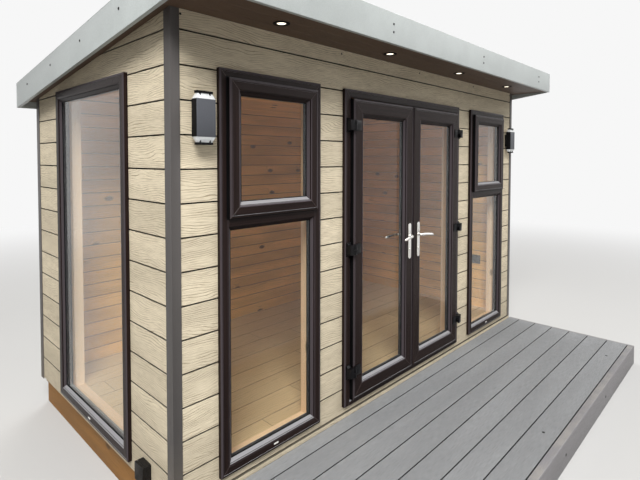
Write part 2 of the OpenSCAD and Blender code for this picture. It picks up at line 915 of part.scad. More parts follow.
// One leaf: a stepped, mitred sash with beads, drilled for the lever's neck
module door_leaf(s) {
    step_y = leaf_back - leaf_step_d;
    outline = [
        [sash_front, bevel], [sash_front + bevel, 0], [step_y, 0],
        [step_y, leaf_step], [leaf_back, leaf_step]
    ];
    color("#2b2422") pod() difference() {
        at_leaf(s) difference() {
            mitred(leaf_w, leaf_h, outline);
            translate([0, 0, stile_w]) mitred(light_w_door, light_h_door,
                glazed_hole(sash_front, leaf_back, sash_glass_y));
        }
        translate([s * spindle_x, 0, lever_z]) rotate([90, 0, 0])
            cylinder(h = 4 * frame_depth, d = neck_dia + 4, center = true);
    }
}

module leaf_glass(s) {
    color("lightblue", 0.4) pod() at_leaf(s) translate([0, 0, stile_w])
        pane(light_w_door, light_h_door, sash_glass_y);
}

// Strip on the right leaf's meeting stile that hides the middle of the gap
module meeting_strip() {
    x0 = meeting_gap / 2;
    color("#2b2422") pod()
        block([x0, sash_front - meeting_t, leaf_z + bevel],
            [x0 + meeting_w, sash_front + bevel, leaf_z + leaf_h - bevel]);
}

// Backplate with round ends, a bore for the lever's neck and a lock cylinder
module handle_plate(y0, side) {
    end_z = (plate_h - plate_w) / 2;
    lock_dia = 17;
    translate([0, y0, 0]) rotate([90, 0, 0]) linear_extrude(plate_t) difference() {
        translate([0, -plate_drop]) {
            square([plate_w, 2 * end_z], center = true);
            for (j = [-1, 1]) translate([0, j * end_z]) circle(d = plate_w);
        }
        circle(d = neck_dia + 2 * turning_gap);
    }
    translate([0, y0 - plate_t / 2 + side * plate_t / 2, -lock_drop]) rotate([90, 0, 0])
        linear_extrude(6, center = true) {
            circle(d = lock_dia);
            translate([0, -lock_dia * 2 / 3]) square([lock_dia * 0.6, lock_dia * 4 / 3], center = true);
        }
}

module handle_plates(s) {
    color("silver") pod() translate([s * spindle_x, 0, lever_z]) {
        handle_plate(sash_front, -1);
        handle_plate(leaf_back + plate_t, 1);
    }
}

tip_r = 9;
tip_x = lever_len - tip_r;

// Upper (side 1) or lower (side -1) edge of a grip, at a share t of its reach
function grip_edge(t, side) =
    let (fall = 2 * lever_droop * t / tip_x, half = tip_r + bevel * (1 - t))
    [t * tip_x, -lever_droop * t * t] + side * half / sqrt(1 + fall * fall) * [fall, 1];

// Grip that reaches towards +X, leans by an angle and droops to a round tip
module grip(y0, lean) {
    steps = 8;
    translate([0, y0, 0]) rotate([90, 0, lean]) linear_extrude(grip_t, center = true) {
        circle(d = neck_dia + 4);
        polygon(concat(
            [for (i = [0:steps]) grip_edge(i / steps, 1)],
            [for (i = [steps:-1:0]) grip_edge(i / steps, -1)]
        ));
        translate([tip_x, -lever_droop]) circle(r = tip_r);
    }
}

// Lever set: outer and inner grips on one spindle through the leaf
module lever(s) {
    outer = sash_front - plate_t - grip_off;
    inner = leaf_back + plate_t + grip_off;
    spindle_dia = neck_dia / 2;
    color("silver") pod() translate([s * spindle_x, 0, lever_z]) on_side(s) {
        grip(outer, -lever_lean);
        grip(inner, lever_lean);
        translate([0, outer, 0]) rotate([-90, 0, 0])
            cylinder(h = sash_front - outer - past, d = neck_dia);
        translate([0, inner, 0]) rotate([90, 0, 0])
            cylinder(h = inner - leaf_back - past, d = neck_dia);
        translate([0, outer, 0]) rotate([-90, 0, 0]) cylinder(h = inner - outer, d = spindle_dia);
    }
}

module left_leaf() {
    door_leaf(-1);
}

module left_leaf_glass() {
    leaf_glass(-1);
}

module left_leaf_hinges() {
    leaf_hinges(-1);
}

module left_handle_plates() {
    handle_plates(-1);
}

module left_lever() {
    lever(-1);
}

module right_leaf() {
    door_leaf(1);
    meeting_strip();
}

module right_leaf_glass() {
    leaf_glass(1);
}

module right_leaf_hinges() {
    leaf_hinges(1);
}

module right_handle_plates() {
    handle_plates(1);
}

module right_lever() {
    lever(1);
}

base_frame();
floor_panel();
floor_boards();
deck_frame();
deck_boards();
deck_fascia();
left_wall();
right_wall();
back_wall();
front_wall_piers();
front_wall_header();
front_cladding();
left_cladding();
right_cladding();
back_cladding();
corner_trims();
starter_strip();
wall_lining();
ceiling_lining();
reveal_linings();
roof_panel();
roof_covering();
front_fascia();
side_fascias();
rear_fascia();
front_soffit();
eaves_soffit();
downlights();
wall_light_bodies();
wall_light_lenses();
cable_box();
wall_socket();
front_window_frames();
vent_sashes();
front_window_glass();
side_window_frame();
side_window_glass();
door_frame();
hinge_posts();
left_leaf();
left_leaf_glass();
left_leaf_hinges();
left_handle_plates();
left_lever();
right_leaf();
right_leaf_glass();
right_leaf_hinges();
right_handle_plates();
right_lever();
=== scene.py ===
"""Garden office pod: boards, joinery, glass, lamps and fixings round the packed model.

Lengths here are millimetres: x from the middle of the front, y backwards from the front face
of the cladding and z up from the ground. A finished mesh is in the frame's metres.
"""

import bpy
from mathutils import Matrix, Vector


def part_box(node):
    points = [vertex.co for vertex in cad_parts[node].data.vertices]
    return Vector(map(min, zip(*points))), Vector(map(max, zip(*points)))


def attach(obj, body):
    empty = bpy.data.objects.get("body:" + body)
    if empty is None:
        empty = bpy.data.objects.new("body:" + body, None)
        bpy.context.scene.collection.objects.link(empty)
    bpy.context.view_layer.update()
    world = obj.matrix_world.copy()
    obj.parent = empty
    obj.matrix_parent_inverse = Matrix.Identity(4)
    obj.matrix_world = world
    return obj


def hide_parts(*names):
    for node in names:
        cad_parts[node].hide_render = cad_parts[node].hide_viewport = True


bl_info = {
    "name": "Garden Office Pod",
    "version": (1, 0, 0),
    "blender": (4, 5, 0),
    "location": "3D View > Sidebar > Pod",
    "description": "Builds the boards, joinery, glass and fittings of a garden office pod",
    "category": "Add Mesh",
}

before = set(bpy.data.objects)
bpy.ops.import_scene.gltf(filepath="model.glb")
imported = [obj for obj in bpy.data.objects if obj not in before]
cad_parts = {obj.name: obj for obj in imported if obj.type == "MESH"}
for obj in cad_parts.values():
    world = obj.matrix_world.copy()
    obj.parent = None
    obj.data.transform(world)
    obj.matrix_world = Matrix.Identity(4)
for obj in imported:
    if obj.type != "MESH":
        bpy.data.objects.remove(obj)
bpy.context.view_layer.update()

import math
import random

import bmesh
import bpy
from bpy.props import FloatProperty, FloatVectorProperty, PointerProperty
from mathutils import Matrix, Vector

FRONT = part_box("front_cladding")[0].y * 1000


def box_mm(name):
    """Lowest and highest corner of a CAD node in this file's millimetres."""
    return [Vector((c.x * 1000, c.y * 1000 - FRONT, c.z * 1000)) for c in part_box(name)]


def size_mm(name):
    """Width, depth and height of a CAD node in whole millimetres."""
    low, high = box_mm(name)
    return [round(part) for part in high - low]


def metres(point):
    """A point of this file in the frame's metres."""
    return Vector((point[0], point[1] + FRONT, point[2])) / 1000


HALF_W = box_mm("front_cladding")[1].x
DEPTH = box_mm("back_cladding")[1].y
CLAD_Z = box_mm("front_cladding")[0].z
FLOOR_Z = box_mm("front_window_frames")[0].z
HEAD_Z = box_mm("front_window_frames")[1].z
SOFFIT_Z = box_mm("front_soffit")[0].z
DECK_Z = box_mm("deck_boards")[1].z
LINING = 12
ROOM_IN = box_mm("wall_lining")[0].y + LINING
FRAME_FRONT = box_mm("front_window_frames")[0].y
FRAME_BACK = box_mm("front_window_frames")[1].y
LEAF_FRONT = box_mm("vent_sashes")[0].y
ROOF_PITCH = 7
SLOPE = math.tan(math.radians(ROOF_PITCH))
WINDOW_W = 668
WINDOW_X = box_mm("front_window_frames")[1].x - WINDOW_W / 2
SIDE_WINDOW_W = size_mm("side_window_frame")[1]
SIDE_WINDOW_Y = round(sum(corner.y for corner in box_mm("side_window_frame")) / 2)
DOOR_W = size_mm("door_frame")[0]
LEVER_X, LEVER_Z = 55, 1195
DOWNLIGHTS = [(-1320 + 880 * i, -150) for i in range(4)]

# Faces of the profiles, and how the leaves and sashes sit in their frames
TALL = HEAD_Z - FLOOR_Z
FRAME_FACE, SASH_FACE, LEAF_FACE = 50, 57, 87
TRANSOM = 48
SASH_LAP = 8
SASH_W = WINDOW_W - 2 * (FRAME_FACE - SASH_LAP)
SASH_H = size_mm("vent_sashes")[2]
SASH_Z = TALL - (FRAME_FACE - SASH_LAP) - SASH_H
LIGHT_H = SASH_Z + SASH_LAP - TRANSOM - FRAME_FACE
LEAF_W, _, LEAF_H = size_mm("left_leaf")
LEAF_Z = round(box_mm("left_leaf")[0].z)
LEAF_INSET = 57
LEAF_X = DOOR_W / 2 - LEAF_INSET - LEAF_W / 2
LEAF_BACK = 12

# The sealed units: their thickness, and how far a sash's glass lies behind its front
UNIT = 24
GLASS_BACK = 22
BEAD = 18

# Finishes of a joinery piece and their places in its slots
JOINERY = ["foil", "rubber", "weld"]
RUBBER, WELD = 1, 2

# The camera that took the photograph, solved from the cladding's joints
CAMERA_AT = (-2.7954, -2.2809, 1.7255)
CAMERA_YAW, CAMERA_PITCH, CAMERA_ROLL = 46.16, -1.89, 0.08
CAMERA_LENS, CAMERA_SHIFT = 26.15, -0.1025


def roof_z(y):
    """Height of the roof panel's underside at a distance behind the front."""
    return SOFFIT_Z + 12 - y * SLOPE


def colour(red, green, blue):
    """A screen colour of 0 to 255 as the linear values that materials take."""
    def linear(part):
        part /= 255
        return part / 12.92 if part <= 0.04045 else ((part + 0.055) / 1.055) ** 2.4
    return linear(red), linear(green), linear(blue)


def paint(label, note, *rgb):
    """A colour setting whose default is a screen colour."""
    return FloatVectorProperty(name=label, description=note, subtype="COLOR", size=3,
                               min=0.0, max=1.0, default=colour(*rgb))


def length(label, note, default, low, high):
    """A length setting in metres."""
    return FloatProperty(name=label, description=note, default=default, min=low, max=high,
                         subtype="DISTANCE", unit="LENGTH", precision=4)


def power(label, note, default):
    """A setting for the power of a light."""
    return FloatProperty(name=label, description=note, default=default, min=0.0, max=3000.0,
                         unit="POWER")


class PodBoards(bpy.types.PropertyGroup):
    """Sizes of the boards on the walls, floor, deck and soffit"""
    cladding_pitch: length(
        "Cladding pitch", "Height that one cladding board covers", 0.15, 0.1, 0.2)
    cladding_gap: length(
        "Cladding gap", "Shadow gap between cladding boards", 0.006, 0.002, 0.01)
    cladding_edge: length("Cladding edge", "Rounding along a cladding board", 0.0016, 0.0005, 0.004)
    deck_gap: length("Deck gap", "Gap between deck boards", 0.0055, 0.003, 0.01)
    deck_edge: length("Deck edge", "Rounding along a deck board", 0.002, 0.0005, 0.006)
    lining_pitch: length(
        "Lining pitch", "Width that one pine lining board covers", 0.096, 0.06, 0.14)
    lining_groove: length(
        "Lining groove", "Bevel along a pine lining board", 0.0025, 0.001, 0.005)
    floor_pitch: length("Plank pitch", "Width of a floor plank in the room", 0.186, 0.09, 0.24)
    floor_groove: length("Plank groove", "Bevel along a floor plank", 0.0016, 0.0004, 0.004)
    soffit_pitch: length("Soffit pitch", "Width of a soffit board", 0.1, 0.06, 0.3)
    fascia_edge: length("Fascia edge", "Rounding of the fascias and cappings", 0.0012, 0.0004, 0.003)


class PodJoinery(bpy.types.PropertyGroup):
    """Sizes of the fine parts of the windows and doors"""
    weld: length("Weld groove", "Depth of the groove along a mitred corner", 0.0008, 0.0002, 0.0015)
    chamfer: length(
        "Sash chamfer", "Width of the slope along a sash's outer edge", 0.012, 0.004, 0.02)
    pane: length("Pane", "Thickness of one sheet of glass", 0.004, 0.003, 0.008)
    spacer: length(
        "Spacer", "Width of spacer bar that shows inside the bead", 0.0025, 0.001, 0.006)


class PodFixings(bpy.types.PropertyGroup):
    """Sizes of the screws and plugs"""
    fascia_screw: length(
        "Fascia screw", "Radius of a screw head on the fascias", 0.007, 0.004, 0.01)
    board_screw: length(
        "Board screw", "Radius of a screw head on the cladding", 0.0055, 0.003, 0.009)
    deck_plug: length("Deck plug", "Radius of a plug in the deck", 0.009, 0.005, 0.014)


class PodColours(bpy.types.PropertyGroup):
    """Colours of the finishes"""
    cladding: paint("Cladding", "Face of the composite cladding", 231, 218, 191)
    cladding_grain: paint("Cladding grain", "Embossed lines of the cladding", 148, 130, 103)
    foil: paint("Foil", "Dark foil on the windows and doors", 31, 21, 19)
    trim: paint("Corner trim", "Corner trims", 80, 76, 74)
    fascia: paint("Fascia", "Fascias and cappings", 184, 189, 187)
    soffit: paint("Soffit", "Boards under the overhangs", 88, 67, 51)
    deck: paint("Deck", "Composite deck boards", 145, 146, 147)
    edging: paint("Deck edging", "Edging and fascia of the deck", 140, 141, 148)
    timber: paint("Base timber", "Treated timber under the room", 152, 104, 42)
    pine: paint("Pine lining", "Pine boards inside", 240, 182, 110)
    reveal: paint("Reveal", "Pine boards round the openings", 238, 198, 160)
    plank: paint("Floor plank", "Planks of the floor inside", 212, 180, 140)
    covering: paint("Roof covering", "Rubber sheet on the roof", 62, 63, 65)
    lamp_body: paint("Wall light", "Powder coat of the wall lights", 78, 80, 86)


class PodStage(bpy.types.PropertyGroup):
    """Light and backdrop of the stage"""
    floor: paint("Floor", "Floor of the stage", 198, 197, 195)
    backdrop: FloatProperty(
        name="Backdrop", description="Brightness of the backdrop, where 1 is white",
        default=0.93, min=0.0, max=1.0, subtype="FACTOR")
    dome: FloatProperty(name="Dome", description="Strength of the even light from all round",
                        default=0.33, min=0.0, max=2.0)
    key: power("Key", "Power of the large soft light high in front", 1760)
    fill: power("Fill", "Power of the soft light from the other side", 280)
    back: power("Back", "Power of the soft light behind the pod", 440)


# Node trees


def socket(sockets, key):
    """The socket at a place, or the one in use with a name."""
    if isinstance(key, int):
        return sockets[key]
    return next(s for s in sockets if s.name == key and s.enabled)


def node(tree, kind, inputs=None, **settings):
    """A new node with its settings, and its inputs set or linked.

    A node given for an input stands for its first output.
    """
    made = tree.nodes.new(kind)
    for key, value in settings.items():
        setattr(made, key, value)
    for key, value in (inputs or {}).items():
        target = socket(made.inputs, key)
        if isinstance(value, bpy.types.Node):
            value = value.outputs[0]
        if isinstance(value, bpy.types.NodeSocket):
            tree.links.new(value, target)
        else:
            target.default_value = value
    return made


def calc(tree, operation, *values):
    """The result of a Math node."""
    return node(tree, "ShaderNodeMath", dict(enumerate(values)), operation=operation).outputs[0]


def times(tree, value, share):
    """The product of two values."""
    return calc(tree, "MULTIPLY", value, share)


def split(tree, vector):
    """The three parts of a point or direction."""
    return node(tree, "ShaderNodeSeparateXYZ", {0: vector}).outputs


def spread(tree, value, low, high, to_low=0.0, to_high=1.0):
    """A value taken smoothly from one range to another, and held inside it."""
    return node(tree, "ShaderNodeMapRange", {0: value, 1: low, 2: high, 3: to_low, 4: to_high},
                interpolation_type="SMOOTHSTEP").outputs[0]


def mixed(tree, share, first, second):
    """Two colours mixed by a share, where 1 is all the second."""
    pair = [(*c, 1.0) if isinstance(c, tuple) and len(c) == 3 else c for c in (first, second)]
    return node(tree, "ShaderNodeMix", {0: share, 6: pair[0], 7: pair[1]},
                data_type="RGBA").outputs[2]


def part_mixed(tree, mask, share, first, second):
    """Two colours mixed by a share of a mask."""
    return mixed(tree, times(tree, mask, share), first, second)


def largest(tree, value, *others):
    """The largest of some values."""
    return calc(tree, "MAXIMUM", value, largest(tree, *others)) if others else value


def seen_rays(tree):
    """1 where the camera sees a surface, straight or through glass and reflections."""
    rays = node(tree, "ShaderNodeLightPath").outputs
    return largest(tree, rays["Is Camera Ray"], rays["Is Glossy Ray"], rays["Is Transmission Ray"])


def shade(base, factor):
    """A colour made darker or lighter."""
    return tuple(min(1.0, part * factor) for part in base)


def group(name, kind, inputs, outputs):
    """A new node group with its sockets, its input node and its output node."""
    tree = bpy.data.node_groups.new(name, kind)
    for label, sort, default in inputs:
        made = tree.interface.new_socket(label, in_out="INPUT", socket_type=sort)
        if default is not None:
            made.default_value = default
    for label, sort in outputs:
        tree.interface.new_socket(label, in_out="OUTPUT", socket_type=sort)
    return tree, tree.nodes.new("NodeGroupInput").outputs, tree.nodes.new("NodeGroupOutput").inputs


VECTOR, NUMBER = "NodeSocketVector", "NodeSocketFloat"


def scaled(tree, vector, along, across):
    """A point with its two directions scaled."""
    by = node(tree, "ShaderNodeCombineXYZ", {0: along, 1: across, 2: along}).outputs[0]
    return node(tree, "ShaderNodeVectorMath", {0: vector, 1: by}, operation="MULTIPLY").outputs[0]


def noise(tree, vector, along, across, detail=2.0, roughness=0.5, flat=True):
    """Soft noise at so many features a metre along and across."""
    return node(tree, "ShaderNodeTexNoise", {
        "Vector": scaled(tree, vector, along, across), "Scale": 1.0, "Detail": detail,
        "Roughness": roughness}, noise_dimensions="2D" if flat else "3D").outputs[0]


def wood_figure():
    """Wood grain on a surface whose first direction runs along the board."""
    tree, given, out = group("Wood figure", "ShaderNodeTree", [
        ("Vector", VECTOR, None), ("Ring Spacing", NUMBER, 0.012), ("Figure", NUMBER, 8.0),
        ("Arcs", NUMBER, 1.3), ("Wobble", NUMBER, 0.5), ("Line Width", NUMBER, 0.3),
        ("Knots", NUMBER, 0.0),
    ], [("Lines", NUMBER), ("Fibre", NUMBER), ("Tone", NUMBER), ("Knot", NUMBER)])
    at = given["Vector"]
    across = split(tree, at)[1]
    cells = node(tree, "ShaderNodeTexVoronoi", {"Vector": scaled(tree, at, 2.6, 5.0), "Scale": 1.0},
                 voronoi_dimensions="2D")
    chosen = calc(tree, "GREATER_THAN", node(
        tree, "ShaderNodeSeparateColor", {0: cells.outputs["Color"]}).outputs[0], 0.66)
    held = times(tree, chosen, given["Knots"])
    near = spread(tree, cells.outputs["Distance"], 0.3, 0.02)
    height = calc(tree, "DIVIDE", across, given["Ring Spacing"])
    for wave, share in ((noise(tree, at, given["Arcs"], 8.0, 1.5), given["Figure"]),
                        (noise(tree, at, 14.0, 60.0, 2.0), given["Wobble"]),
                        (near, times(tree, held, 4.0))):
        height = calc(tree, "ADD", height, times(tree, wave, share))
    rings = calc(tree, "SINE", times(tree, height, 2 * math.pi))
    edge = calc(tree, "SUBTRACT", 1.0, times(tree, given["Line Width"], 2.0))
    lines = node(tree, "ShaderNodeMapRange", {0: rings, 1: edge, 2: 1.0},
                 interpolation_type="SMOOTHSTEP").outputs[0]
    faded = spread(tree, noise(tree, at, 5.0, 30.0, 2.0), 0.3, 0.62, 0.15, 1.0)
    for label, value in (
            ("Lines", times(tree, lines, faded)),
            ("Fibre", noise(tree, at, 16.0, 700.0, 3.0, 0.6)),
            ("Tone", noise(tree, at, 0.8, 5.0, 2.0)),
            ("Knot", times(tree, held, spread(
                tree, cells.outputs["Distance"], 0.11, 0.05)))):
        tree.links.new(value, out[label])
    return tree


def speckle():
    """Fine grains and soft patches of a coat or a moulded board."""
    tree, given, out = group("Speckle", "ShaderNodeTree", [
        ("Vector", VECTOR, None), ("Grain Scale", NUMBER, 400.0), ("Patch Scale", NUMBER, 5.0),
    ], [("Grains", NUMBER), ("Patches", NUMBER)])
    for label, scale, detail in (("Grains", "Grain Scale", 2.0), ("Patches", "Patch Scale", 3.0)):
        made = node(tree, "ShaderNodeTexNoise", {
            "Vector": given["Vector"], "Scale": given[scale], "Detail": detail})
        tree.links.new(made.outputs[0], out[label])
    return tree


def weathering_and_painted_light():
    """Where rain splash and settled dust show on a piece that stands outside, and where painted sheen
    and painted shade go.
    """
    tree, given, out = group("Weathering", "ShaderNodeTree", [
        ("Vector", VECTOR, None), ("Splash Height", NUMBER, 0.35),
    ], [("Splash", NUMBER), ("Dust", NUMBER), ("Film", NUMBER), ("Level", NUMBER),
        ("Slope", NUMBER)])
    at = given["Vector"]
    high = split(tree, at)[2]
    blotch = noise(tree, at, 7.0, 7.0, 4.0, 0.6, flat=False)
    level = calc(tree, "SUBTRACT", high, times(tree, blotch, given["Splash Height"]))
    normal = split(tree, node(tree, "ShaderNodeNewGeometry").outputs["Normal"])
    side, front, flat = [calc(tree, "ABSOLUTE", part) for part in normal]
    up = normal[2]
    splash = node(tree, "ShaderNodeMapRange", {0: level, 1: given["Splash Height"], 2: 0.0})
    square = largest(tree, flat, side, front)
    # The slope and film masks place painted highlight and painted sky reflection with some dust; the
    # level mask places painted shade in the gaps between boards
    for label, value in (
            ("Splash", splash.outputs[0]),
            ("Dust", times(tree, spread(tree, up, 0.4, 0.95),
                          spread(tree, blotch, 0.35, 0.7))),
            ("Film", spread(tree, up, 0.3, 0.6)),
            ("Slope", times(tree, spread(tree, square, 0.99, 0.96),
                           spread(tree, up, -0.2, 0.1))),
            ("Level", spread(tree, flat, 0.35, 0.75))):
        tree.links.new(value, out[label])
    return tree


def face_coordinates():
    """A point on the face it lies on, with the level direction first."""
    tree, given, out = group("Face coordinates", "ShaderNodeTree", [("Vector", VECTOR, None)],
                             [("Vector", VECTOR)])
    x, y, z = split(tree, given["Vector"])
    normal = split(tree, node(tree, "ShaderNodeNewGeometry").outputs["True Normal"])
    side, level = [calc(tree, "GREATER_THAN", calc(tree, "ABSOLUTE", normal[k]), 0.7) for k in (0, 2)]

    def either(share, first, second):
        return node(tree, "ShaderNodeMix", {0: share, 2: first, 3: second}).outputs[0]

    made = node(tree, "ShaderNodeCombineXYZ", {0: either(side, x, y), 1: either(level, z, y)})
    tree.links.new(made.outputs[0], out["Vector"])
    return tree


GROUPS = {"Wood figure": wood_figure, "Speckle": speckle, "Weathering": weathering_and_painted_light,
          "Face coordinates": face_coordinates}


# What rain and dust leave on boards and on coated metal, a painted highlight along a foiled edge, and
# painted sky reflection with some dust on a foiled ledge
BOARD_EARTH, BOARD_DUST = colour(120, 110, 96), colour(178, 172, 160)
COAT_EARTH, COAT_DUST = colour(122, 112, 98), colour(170, 164, 152)
EDGE_SHEEN, LEDGE_SHEEN_AND_DUST = colour(158, 150, 158), colour(176, 176, 178)


def socket_name(key):
    """The name of the socket that a keyword stands for."""
    return key.replace("_", " ").title().replace("Ior", "IOR")


class Finish:
    """One material while it is being made."""

    def __init__(self, name, **constants):
        self.material = bpy.data.materials.new(name)
        self.material.use_nodes = True
        self.tree = self.material.node_tree
        self.shader = self.tree.nodes["Principled BSDF"]
        places = node(self.tree, "ShaderNodeTexCoord")
        self.place, self.uv = places.outputs["Object"], places.outputs["UV"]
        for key, value in constants.items():
            self.shader.inputs[socket_name(key)].default_value = value

    def use(self, name, **values):
        """A placed shader group's outputs."""
        if name not in bpy.data.node_groups:
            GROUPS[name]()
        return node(self.tree, "ShaderNodeGroup", {
            socket_name(key): value for key, value in values.items()},
            node_tree=bpy.data.node_groups[name]).outputs

    def feed(self, **links):
        """Links values to the shader's sockets."""
        for key, value in links.items():
            self.tree.links.new(value, self.shader.inputs[socket_name(key)])

    def bump(self, *heights, distance):
        """Bump from one or more (height, share) pairs."""
        total = None
        for height, share in heights:
            part = times(self.tree, height, share)
            total = part if total is None else calc(self.tree, "ADD", total, part)
        made = node(self.tree, "ShaderNodeBump", {"Distance": distance, "Height": total})
        self.feed(normal=made.outputs[0])

    def mix(self, share, other):
        """Mixes another shader in by a share."""
        both = node(self.tree, "ShaderNodeMixShader", {0: share, 1: self.shader, 2: other})
        surface = self.tree.nodes["Material Output"].inputs["Surface"]
        self.tree.links.new(both.outputs[0], surface)


def wood(name, base, dark, spacing, figure, wobble=0.5, width=0.3, knots=0.0, arcs=1.3, lines=0.8,
         fibre=0.25, tone=0.25, rough=(0.5, 0.7), depth=0.0006, on_faces=False, splash=0.0,
         groove=None, film=0.0, streaks=0.0, **constants):
    """A grained board: solid timber, an embossed composite or a printed foil.

    A groove paints shade on the level faces of upright boards, or on the bevels and sides of flat
    ones, for the shadow in the gaps between boards.
    """
    made = Finish(name, **constants)
    tree = made.tree
    at = made.use("Face coordinates", vector=made.place)[0] if on_faces else made.uv
    grain = made.use("Wood figure", vector=at, ring_spacing=spacing, figure=figure, arcs=arcs,
                     wobble=wobble, line_width=width, knots=knots)
    face = mixed(tree, spread(tree, grain["Tone"], 0.3, 0.7), shade(base, 1 - tone / 2),
                 shade(base, 1 + tone / 2))
    face = part_mixed(tree, spread(tree, grain["Fibre"], 0.35, 0.7), fibre, face, dark)
    face = part_mixed(tree, grain["Lines"], lines, face, dark)
    if knots:
        face = mixed(tree, grain["Knot"], face, shade(dark, 0.42))
    if streaks:
        line = spread(tree, noise(tree, at, 1.6, 150.0, 2.0), 0.35, 0.7, 0.0, streaks)
        face = mixed(tree, line, face, shade(base, 2.6))
    wear_and_light = made.use("Weathering", vector=made.place)
    if splash:
        face = part_mixed(tree, wear_and_light["Splash"], splash, face, BOARD_EARTH)
        face = part_mixed(tree, wear_and_light["Dust"], 0.3, face, BOARD_DUST)
    # Painted highlight on the tilted edges, and painted sky reflection with some dust on the
    # up-facing ledges
    if film:
        face = part_mixed(tree, wear_and_light["Slope"], 0.2, face, EDGE_SHEEN)
        face = part_mixed(tree, wear_and_light["Film"], film, face, LEDGE_SHEEN_AND_DUST)
    # Painted shade: the faces inside the gaps between boards darken towards black
    if groove:
        inside = wear_and_light["Level"] if groove == "level" else spread(tree, wear_and_light["Level"], 0.995, 0.97)
        face = part_mixed(tree, inside, 0.85, face, shade(base, 0.05))
    made.feed(base_color=face, roughness=spread(tree, grain["Fibre"], 0.2, 0.8, *rough))
    made.bump((grain["Lines"], -1.0), (grain["Fibre"], 0.35), distance=depth)
    return made.material


def coat(name, base, grain=450.0, patch=4.0, contrast=0.12, mottle=0.12, rough=(0.4, 0.6),
         depth=0.0001, splash=0.0, dust=0.0, fleck=None, flecks=0.0, streak=None, **constants):
    """A painted, powder-coated, moulded or metal surface, brushed where it has a streak."""
    made = Finish(name, **constants)
    tree = made.tree
    at = scaled(tree, made.place, *streak) if streak else made.place
    marks = made.use("Speckle", vector=at, grain_scale=grain, patch_scale=patch)
    face = mixed(tree, spread(tree, marks["Patches"], 0.3, 0.7), shade(base, 1 - mottle),
                 shade(base, 1 + mottle))
    face = mixed(tree, spread(tree, marks["Grains"], 0.35, 0.68, 0.0, contrast), face,
                 shade(base, 0.35))
    if fleck:
        face = mixed(tree, spread(tree, marks["Grains"], 0.55, 0.68, 0.0, flecks), face, fleck)
    if splash or dust:
        wear_and_light = made.use("Weathering", vector=made.place)
        face = part_mixed(tree, wear_and_light["Splash"], splash, face, COAT_EARTH)
        face = part_mixed(tree, wear_and_light["Dust"], dust, face, COAT_DUST)
    made.feed(base_color=face, roughness=spread(tree, marks["Patches"], 0.25, 0.75, *rough))
    made.bump((marks["Grains"], 1.0), distance=depth)
    return made.material


def glass_finish():
    """Clear glass that lets lamps and soft light through to the room."""
    made = Finish("Clear glass", ior=1.22, transmission_weight=1.0)
    made.shader.inputs["Base Color"].default_value = (0.975, 0.99, 0.982, 1.0)
    smears = made.use("Speckle", vector=made.place, grain_scale=60.0, patch_scale=2.2)
    made.feed(roughness=spread(made.tree, smears["Patches"], 0.35, 0.75, 0.0, 0.02))
    rays = node(made.tree, "ShaderNodeLightPath").outputs
    open_to = largest(made.tree, rays["Is Shadow Ray"], rays["Is Diffuse Ray"])
    made.mix(open_to, node(made.tree, "ShaderNodeBsdfTransparent", {0: (0.95, 0.965, 0.957, 1.0)}))
    return made.material


def lamp_finish():
    """Lit face of a downlight, brighter in its middle."""
    made = Finish("Lit lamp", roughness=0.3)
    marks = made.use("Speckle", vector=made.place, grain_scale=300.0, patch_scale=40.0)
    glow = mixed(made.tree, marks["Patches"], colour(255, 236, 200), colour(255, 250, 236))
    made.feed(base_color=glow, emission_color=glow)
    made.shader.inputs["Emission Strength"].default_value = 2.2
    return made.material


# Length of a floor plank in metres, and the share of it that its end joint takes
PLANK_LENGTH, PLANK_JOINT = 1.2, 0.0022


def planks_finish(base):
    """Floor planks with their ends staggered along each row."""
    made = Finish("Floor planks")
    tree = made.tree
    grain = made.use("Wood figure", vector=made.uv, ring_spacing=0.02, figure=5.0, wobble=0.6,
                     line_width=0.35)
    part = calc(tree, "DIVIDE", split(tree, made.uv)[0], PLANK_LENGTH)
    each = node(tree, "ShaderNodeTexWhiteNoise", {"W": calc(tree, "FLOOR", part)},
                noise_dimensions="1D").outputs["Value"]
    ends = calc(tree, "LESS_THAN", calc(tree, "FRACT", part), PLANK_JOINT)
    face = mixed(tree, each, shade(base, 0.86), shade(base, 1.1))
    face = part_mixed(tree, grain["Lines"], 0.45, face, shade(base, 0.5))
    face = part_mixed(tree, grain["Fibre"], 0.35, face, shade(base, 0.6))
    level = made.use("Weathering", vector=made.place)["Level"]
    # Painted shade: the bevels along the planks darken like the end joints, for the shade in the
    # grooves
    ends = largest(tree, ends, spread(tree, level, 0.99, 0.98))
    made.feed(base_color=mixed(tree, ends, face, shade(base, 0.12)),
              roughness=spread(tree, grain["Fibre"], 0.2, 0.8, 0.35, 0.5))
    made.bump((grain["Lines"], -0.6), (ends, -2.0), distance=0.0004)
    return made.material


